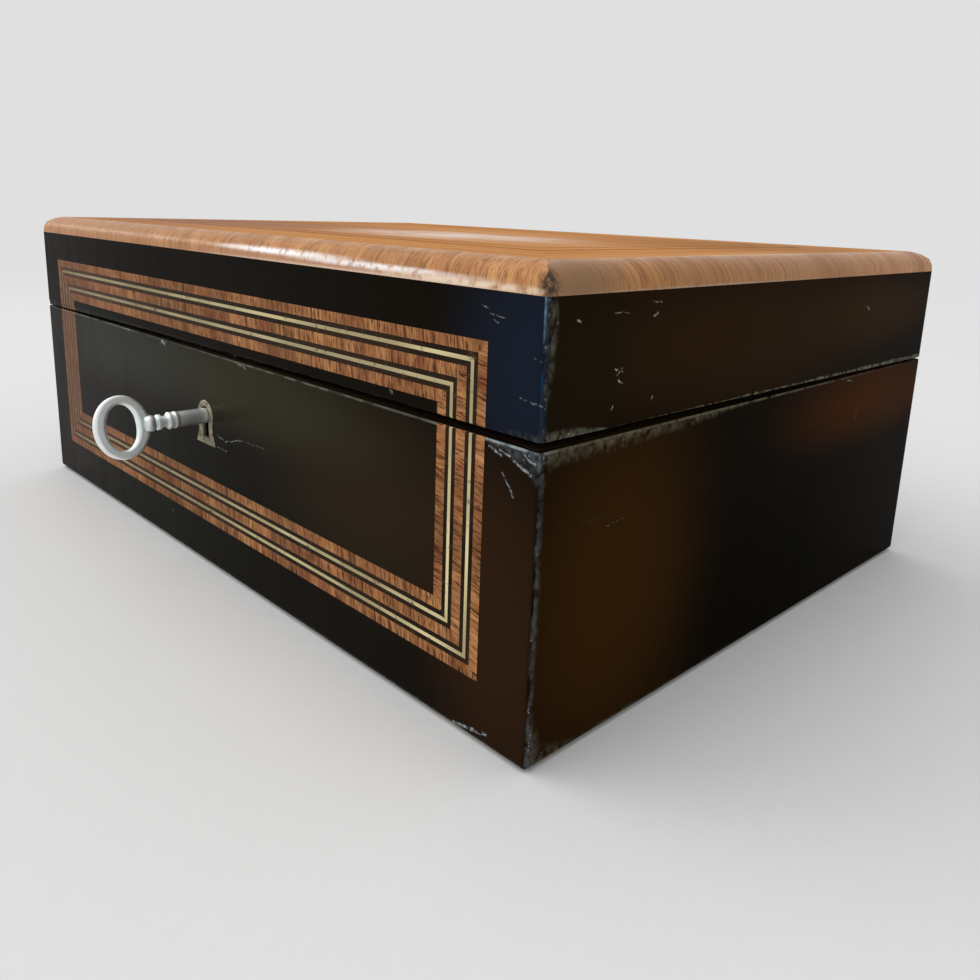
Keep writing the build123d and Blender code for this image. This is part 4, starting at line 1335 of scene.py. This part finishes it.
def inflate(obj: bpy.types.Object, held: Callable[[Vector], float], pressure: float, cap: float) -> None:
    """Blow a closed cover up as cloth, and keep the result in its mesh.

    Args:
        obj: the cover, with its mesh in place.
        held: how firmly a point, in millimetres, is sewn down, from 0 to 1.
        pressure: the stuffing's pressure.
        cap: the furthest that a point may move, in millimetres.
    """
    start = [v.co.copy() for v in obj.data.vertices]
    group = obj.vertex_groups.new(name="sewn")
    for vertex in obj.data.vertices:
        group.add([vertex.index], held(vertex.co / MM), "REPLACE")
    settings = obj.modifiers.new("cover", "CLOTH").settings
    settings.quality = 6
    settings.vertex_group_mass = group.name
    settings.use_pressure = True
    settings.uniform_pressure_force = pressure
    settings.tension_stiffness = settings.compression_stiffness = 12
    settings.effector_weights.gravity = 0.0
    scene = bpy.context.scene
    for step in range(1, 21):
        scene.frame_set(step)
    applied(obj)
    scene.frame_set(1)
    for vertex, before in zip(obj.data.vertices, start):
        move = vertex.co - before
        if move.length > cap * MM:
            vertex.co = before + move.normalized() * cap * MM
    obj.vertex_groups.clear()
    smooth = obj.modifiers.new("smooth", "SUBSURF")
    smooth.levels = smooth.render_levels = 1
    applied(obj)


@dataclass
class LidPad:
    """Quilted silk pad under the lid's top. Sizes in millimetres."""

    tuft: float = 42.0
    depth: float = 4.6
    least: float = 1.2
    edge: float = 9.0
    spacing: float = 2.8
    margin: float = 0.6

    def __post_init__(self) -> None:
        """Take the pad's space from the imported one."""
        low, high = span("lid_pad")
        self.low = (low[0] + self.margin, low[1] + self.margin, low[2])
        self.high = (high[0] - self.margin, high[1] - self.margin, high[2])

    def seams(self, x: float, y: float) -> tuple[float, float]:
        """Give how far a place is from the stitched rows of each diagonal, from 0 to 1."""
        return tuple(abs(math.sin(math.pi * way / self.tuft)) for way in (x + y, x - y))

    def quilt(self, x: float, y: float) -> float:
        """Give the height of the quilted face: puffs between diagonal rows of stitches."""
        u, v = self.seams(x, y)
        edge = min(self.high[0] - abs(x), self.high[1] - abs(y))
        fall = min(1.0, max(0.0, edge) / self.edge) ** 0.5
        return self.high[2] - self.least - self.depth * fall * (0.35 + 0.65 * (u * v) ** 0.5)

    def sewn(self, point: Vector) -> float:
        """Hold the back and the stitched rows."""
        if point.z > self.high[2] - 0.9:
            return 1.0
        u, v = self.seams(point.x, point.y)
        return 1.0 if max(u, v) < 0.22 else 0.75 * max(0.0, 1 - min(u, v) / 0.16)

    def build(self) -> None:
        """Stuff the cover and fix it in the lid."""
        bm = slab(self.low, self.high, self.spacing, self.quilt, down=True)
        pad = piece_from("lid_pad_silk", bm, SILK, 180.0)
        inflate(pad, self.sewn, 4.0, 1.6)
        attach(pad, Body.LID)
        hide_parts("lid_pad")
        log.info("lid pad: %d faces", len(pad.data.polygons))


@dataclass
class Pincushion:
    """Velvet cushion in the front middle compartment of the tray. Sizes in millimetres."""

    spacing: float = 2.4
    shoulder: float = 9.0
    fall: float = 5.5
    swell: float = 1.2

    def __post_init__(self) -> None:
        """Take the cushion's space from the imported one."""
        self.low, self.high = span("pincushion")

    def crown(self, x: float, y: float) -> float:
        """Give the height of the crowned top."""
        middle = (self.low[1] + self.high[1]) / 2
        edge = min(self.high[0] - abs(x), (self.high[1] - self.low[1]) / 2 - abs(y - middle))
        share = min(1.0, max(0.0, edge) / self.shoulder)
        return self.high[2] - self.swell - self.fall * (1 - math.sqrt(1 - (1 - share) ** 2))

    def sewn(self, point: Vector) -> float:
        """Hold the foot of the cushion."""
        return 1.0 if point.z < self.low[2] + 1 else 0.0

    def build(self) -> None:
        """Stuff the cushion and set it in the tray."""
        bm = slab(self.low, self.high, self.spacing, self.crown)
        cushion = piece_from("pincushion_velvet", bm, VELVET, 180.0)
        inflate(cushion, self.sewn, 3.0, self.swell)
        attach(cushion, Body.TRAY)
        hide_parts("pincushion")
        log.info("pincushion: %d faces", len(cushion.data.polygons))


@dataclass
class TrayPulls:
    """Two doubled silk ribbons at the ends of the tray, by which it is lifted. Sizes in millimetres."""

    width: float = 14.0
    thickness: float = 0.3
    open: float = 1.1
    half_gap: float = 0.22
    inside: float = 0.8
    steps: int = 40
    strips: int = 8

    def loop(self, side: int) -> Mesh:
        """Build one ribbon, folded double with an open loop at its top.

        Args:
            side: -1 for the left end of the tray, 1 for the right one.

        Returns:
            The ribbon's mesh, in metres.
        """
        (_, _, foot), (right, _, top) = span("tray_pulls")
        bm = bmesh.new()
        rows = []
        for k in range(self.steps + 1):
            t = k / self.steps * 2 - 1
            height = top - (top - foot) * abs(t) ** 1.8
            swell = self.open * math.exp(-(((top - height - 2.2) / 2.0) ** 2))
            away = math.copysign((self.half_gap + swell) * min(1.0, (top - height) / 0.8) ** 0.5, t)
            x = side * (right - self.inside + away)
            rows.append([
                bm.verts.new(Vector((x, self.width * (j / self.strips - 0.5), height)) * MM)
                for j in range(self.strips + 1)
            ])
        grid_faces(bm, rows)
        return bm

    def build(self) -> None:
        """Fix both ribbons to the tray."""
        for name, side in (("left", -1), ("right", 1)):
            ribbon = piece_from(f"tray_pull_ribbon_{name}", self.loop(side), SILK, 180.0)
            thick = ribbon.modifiers.new("thickness", "SOLIDIFY")
            thick.thickness, thick.offset = self.thickness * MM, 0.0
            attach(ribbon, Body.TRAY)
        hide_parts("tray_pulls")
        log.info("tray pulls: two ribbons")


@dataclass
class FlatCloth:
    """A cloth or paper glued flat to a board. Sizes in millimetres."""

    node: str
    name: str
    body: Body
    finish: Finish
    slot: str
    rests_on: str
    spacing: float = 4.0
    ripple: float = 0.12
    ripple_length: float = 9.0

    def build(self) -> None:
        """Lay the sheet in its node's space."""
        low, high = span(self.node)

        def height(x: float, y: float) -> float:
            """Give the height of the slightly uneven upper face."""
            wave = noise.noise(Vector((x / self.ripple_length, y / self.ripple_length, 3.0)))
            return high[2] - self.ripple * (0.5 + 0.5 * wave)

        sheet = piece_from(self.name, slab(low, high, self.spacing, height), self.finish, 60.0)
        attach(sheet, self.body)
        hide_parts(self.node)


@dataclass
class Studio:
    """Pale floor, soft lamps and the camera at the photograph's angle. Sizes in metres and degrees."""

    paper: StudioPaper = StudioPaper("studio_paper")
    floor_half: float = 12.0
    room_light: float = 0.68
    sun_aim: Point = (0.35, 0.3, -1.0)
    sun_spread: float = 70.0
    sun_strength: float = 1.11
    strip_place: Point = (-1.2, -0.86, 0.63)
    strip_aim: Point = (0.0, -0.1, 0.08)
    strip_size: tuple[float, float] = (1.25, 0.22)
    strip_spread: float = 60.0
    strip_power: float = 0.7
    strip_colour: str = "#fffaf4"
    camera_place: Point = (0.24565, -0.21488, 0.11613)
    turn: float = 45.556
    tilt: float = 13.116
    roll: float = 2.01
    lens: float = 31.43
    shift_x: float = 0.00135
    shift_y: float = -0.0835

    def camera(self) -> None:
        """Stand the camera where the photograph was taken."""
        turn, tilt, roll = (math.radians(v) for v in (self.turn, self.tilt, self.roll))
        ahead = Vector((-math.sin(turn) * math.cos(tilt), math.cos(turn) * math.cos(tilt), -math.sin(tilt)))
        level = Vector((math.cos(turn), math.sin(turn), 0))
        rise = level.cross(ahead)
        right = math.cos(roll) * level + math.sin(roll) * rise
        up = -math.sin(roll) * level + math.cos(roll) * rise
        data = bpy.data.cameras.new("photograph_view")
        data.lens, data.sensor_width = self.lens, 36.0
        data.shift_x, data.shift_y = self.shift_x, self.shift_y
        data.clip_start, data.clip_end = 0.01, 50.0
        camera = linked("photograph_view", data)
        turned = Matrix((right, up, -ahead)).transposed().to_4x4()
        camera.matrix_world = Matrix.Translation(self.camera_place) @ turned
        bpy.context.scene.camera = camera

    def lamp(self, name: str, kind: str, aim: Vector, **settings: object) -> bpy.types.Object:
        """Hang a lamp.

        Args:
            name: the lamp's name.
            kind: Blender's name for its kind.
            aim: the way that its light goes.
            **settings: the light's own settings.

        Returns:
            The lamp, at the middle of the floor.
        """
        data = bpy.data.lights.new(name, kind)
        for key, value in settings.items():
            setattr(data, key, value)
        lamp = linked(name, data)
        lamp.rotation_mode = "QUATERNION"
        lamp.rotation_quaternion = aim.to_track_quat("-Z", "Y")
        return lamp

    def floor(self) -> None:
        """Lay a pale floor that runs far behind the box."""
        bm = bmesh.new()
        places = (-self.floor_half, 0.0, self.floor_half)
        grid_faces(bm, [[bm.verts.new((x, y, 0.0)) for x in places] for y in places])
        piece_from("studio_floor", bm, self.paper)

    def sky(self) -> None:
        """Light the room evenly, and show it at the floor's tone."""
        world = bpy.data.worlds.new("studio_room")
        world.use_nodes = True
        bpy.context.scene.world = world
        room = Drawing(world.node_tree)
        room.tree.nodes.remove(room.tree.nodes["Background"])
        camera = room.add(RAYS)
        glossy, passing = (camera.node.outputs[f"Is {kind} Ray"] for kind in ("Glossy", "Transmission"))
        seen = room.add(HELD_PLUS, room.add(PLUS, camera, glossy), passing)
        light = room.add(GLOW, (1.0, 1.0, 1.0, 1.0), self.room_light)
        shown = room.add(GLOW, linear(self.paper.pale), 1.0)
        surface = room.tree.nodes["World Output"].inputs["Surface"]
        room.fill(surface, room.add(MIX_SHADERS, seen, light, shown))

    def build(self) -> None:
        """Set up the floor, the lamps and the camera."""
        self.floor()
        self.sky()
        self.lamp(
            "overhead_light", "SUN", Vector(self.sun_aim), angle=math.radians(self.sun_spread),
            energy=self.sun_strength,
        )
        place, (width, height) = Vector(self.strip_place), self.strip_size
        strip = self.lamp(
            "left_strip", "AREA", Vector(self.strip_aim) - place, shape="RECTANGLE", size=width,
            size_y=height, spread=math.radians(self.strip_spread), energy=self.strip_power,
            color=linear(self.strip_colour)[:3],
        )
        strip.location = place
        strip.visible_camera = False
        self.camera()
        bpy.context.scene.view_settings.view_transform = "Standard"
        log.info("studio: floor, lamps, camera")


def dress() -> None:
    """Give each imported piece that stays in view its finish."""
    for finish, names in DRESS.items():
        material = finish.material()
        for name in names:
            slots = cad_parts[name].data.materials
            slots.clear()
            slots.append(material)
        log.info("%s: %s", finish.name, ", ".join(names))


def main() -> None:
    """Build the studio and every piece."""
    logging.basicConfig(level=logging.INFO, format="%(name)s: %(message)s")
    Studio().build()
    dress()
    inlay = {"crossbanding": "crossband_wood", "pale_stringing": "pale_line", "dark_stringing": "dark_line"}
    case_slots = {"case_front_veneer": "ebonised_veneer", "case_right_veneer": "ebonised_veneer"}
    lid_slots = {
        "lid_front_veneer": "ebonised_veneer", "lid_left_veneer": "ebonised_veneer",
        "lid_front_board": "carcass_wood", "lid_left_board": "carcass_wood",
    }
    for part, slot in inlay.items():
        case_slots[f"case_{part}"] = lid_slots[f"lid_{part}"] = slot
    WornRim(Body.CASE, "worn", case_slots, step=9.0, sharp=20.0).build()
    SettledRim(Body.LID, "settled", lid_slots, step=20.0).build()
    EdgeMoulding().build()
    Escutcheon().build()
    Key().build()
    LidPad().build()
    Pincushion().build()
    TrayPulls().build()
    FlatCloth("floor_lining", "floor_lining_paper", Body.CASE, GLAZED_PAPER, "silk", "bottom_board").build()
    FlatCloth("base_baize", "base_baize_cloth", Body.CASE, BAIZE, "baize", "bottom_board").build()


if __name__ == "__main__":
    main()
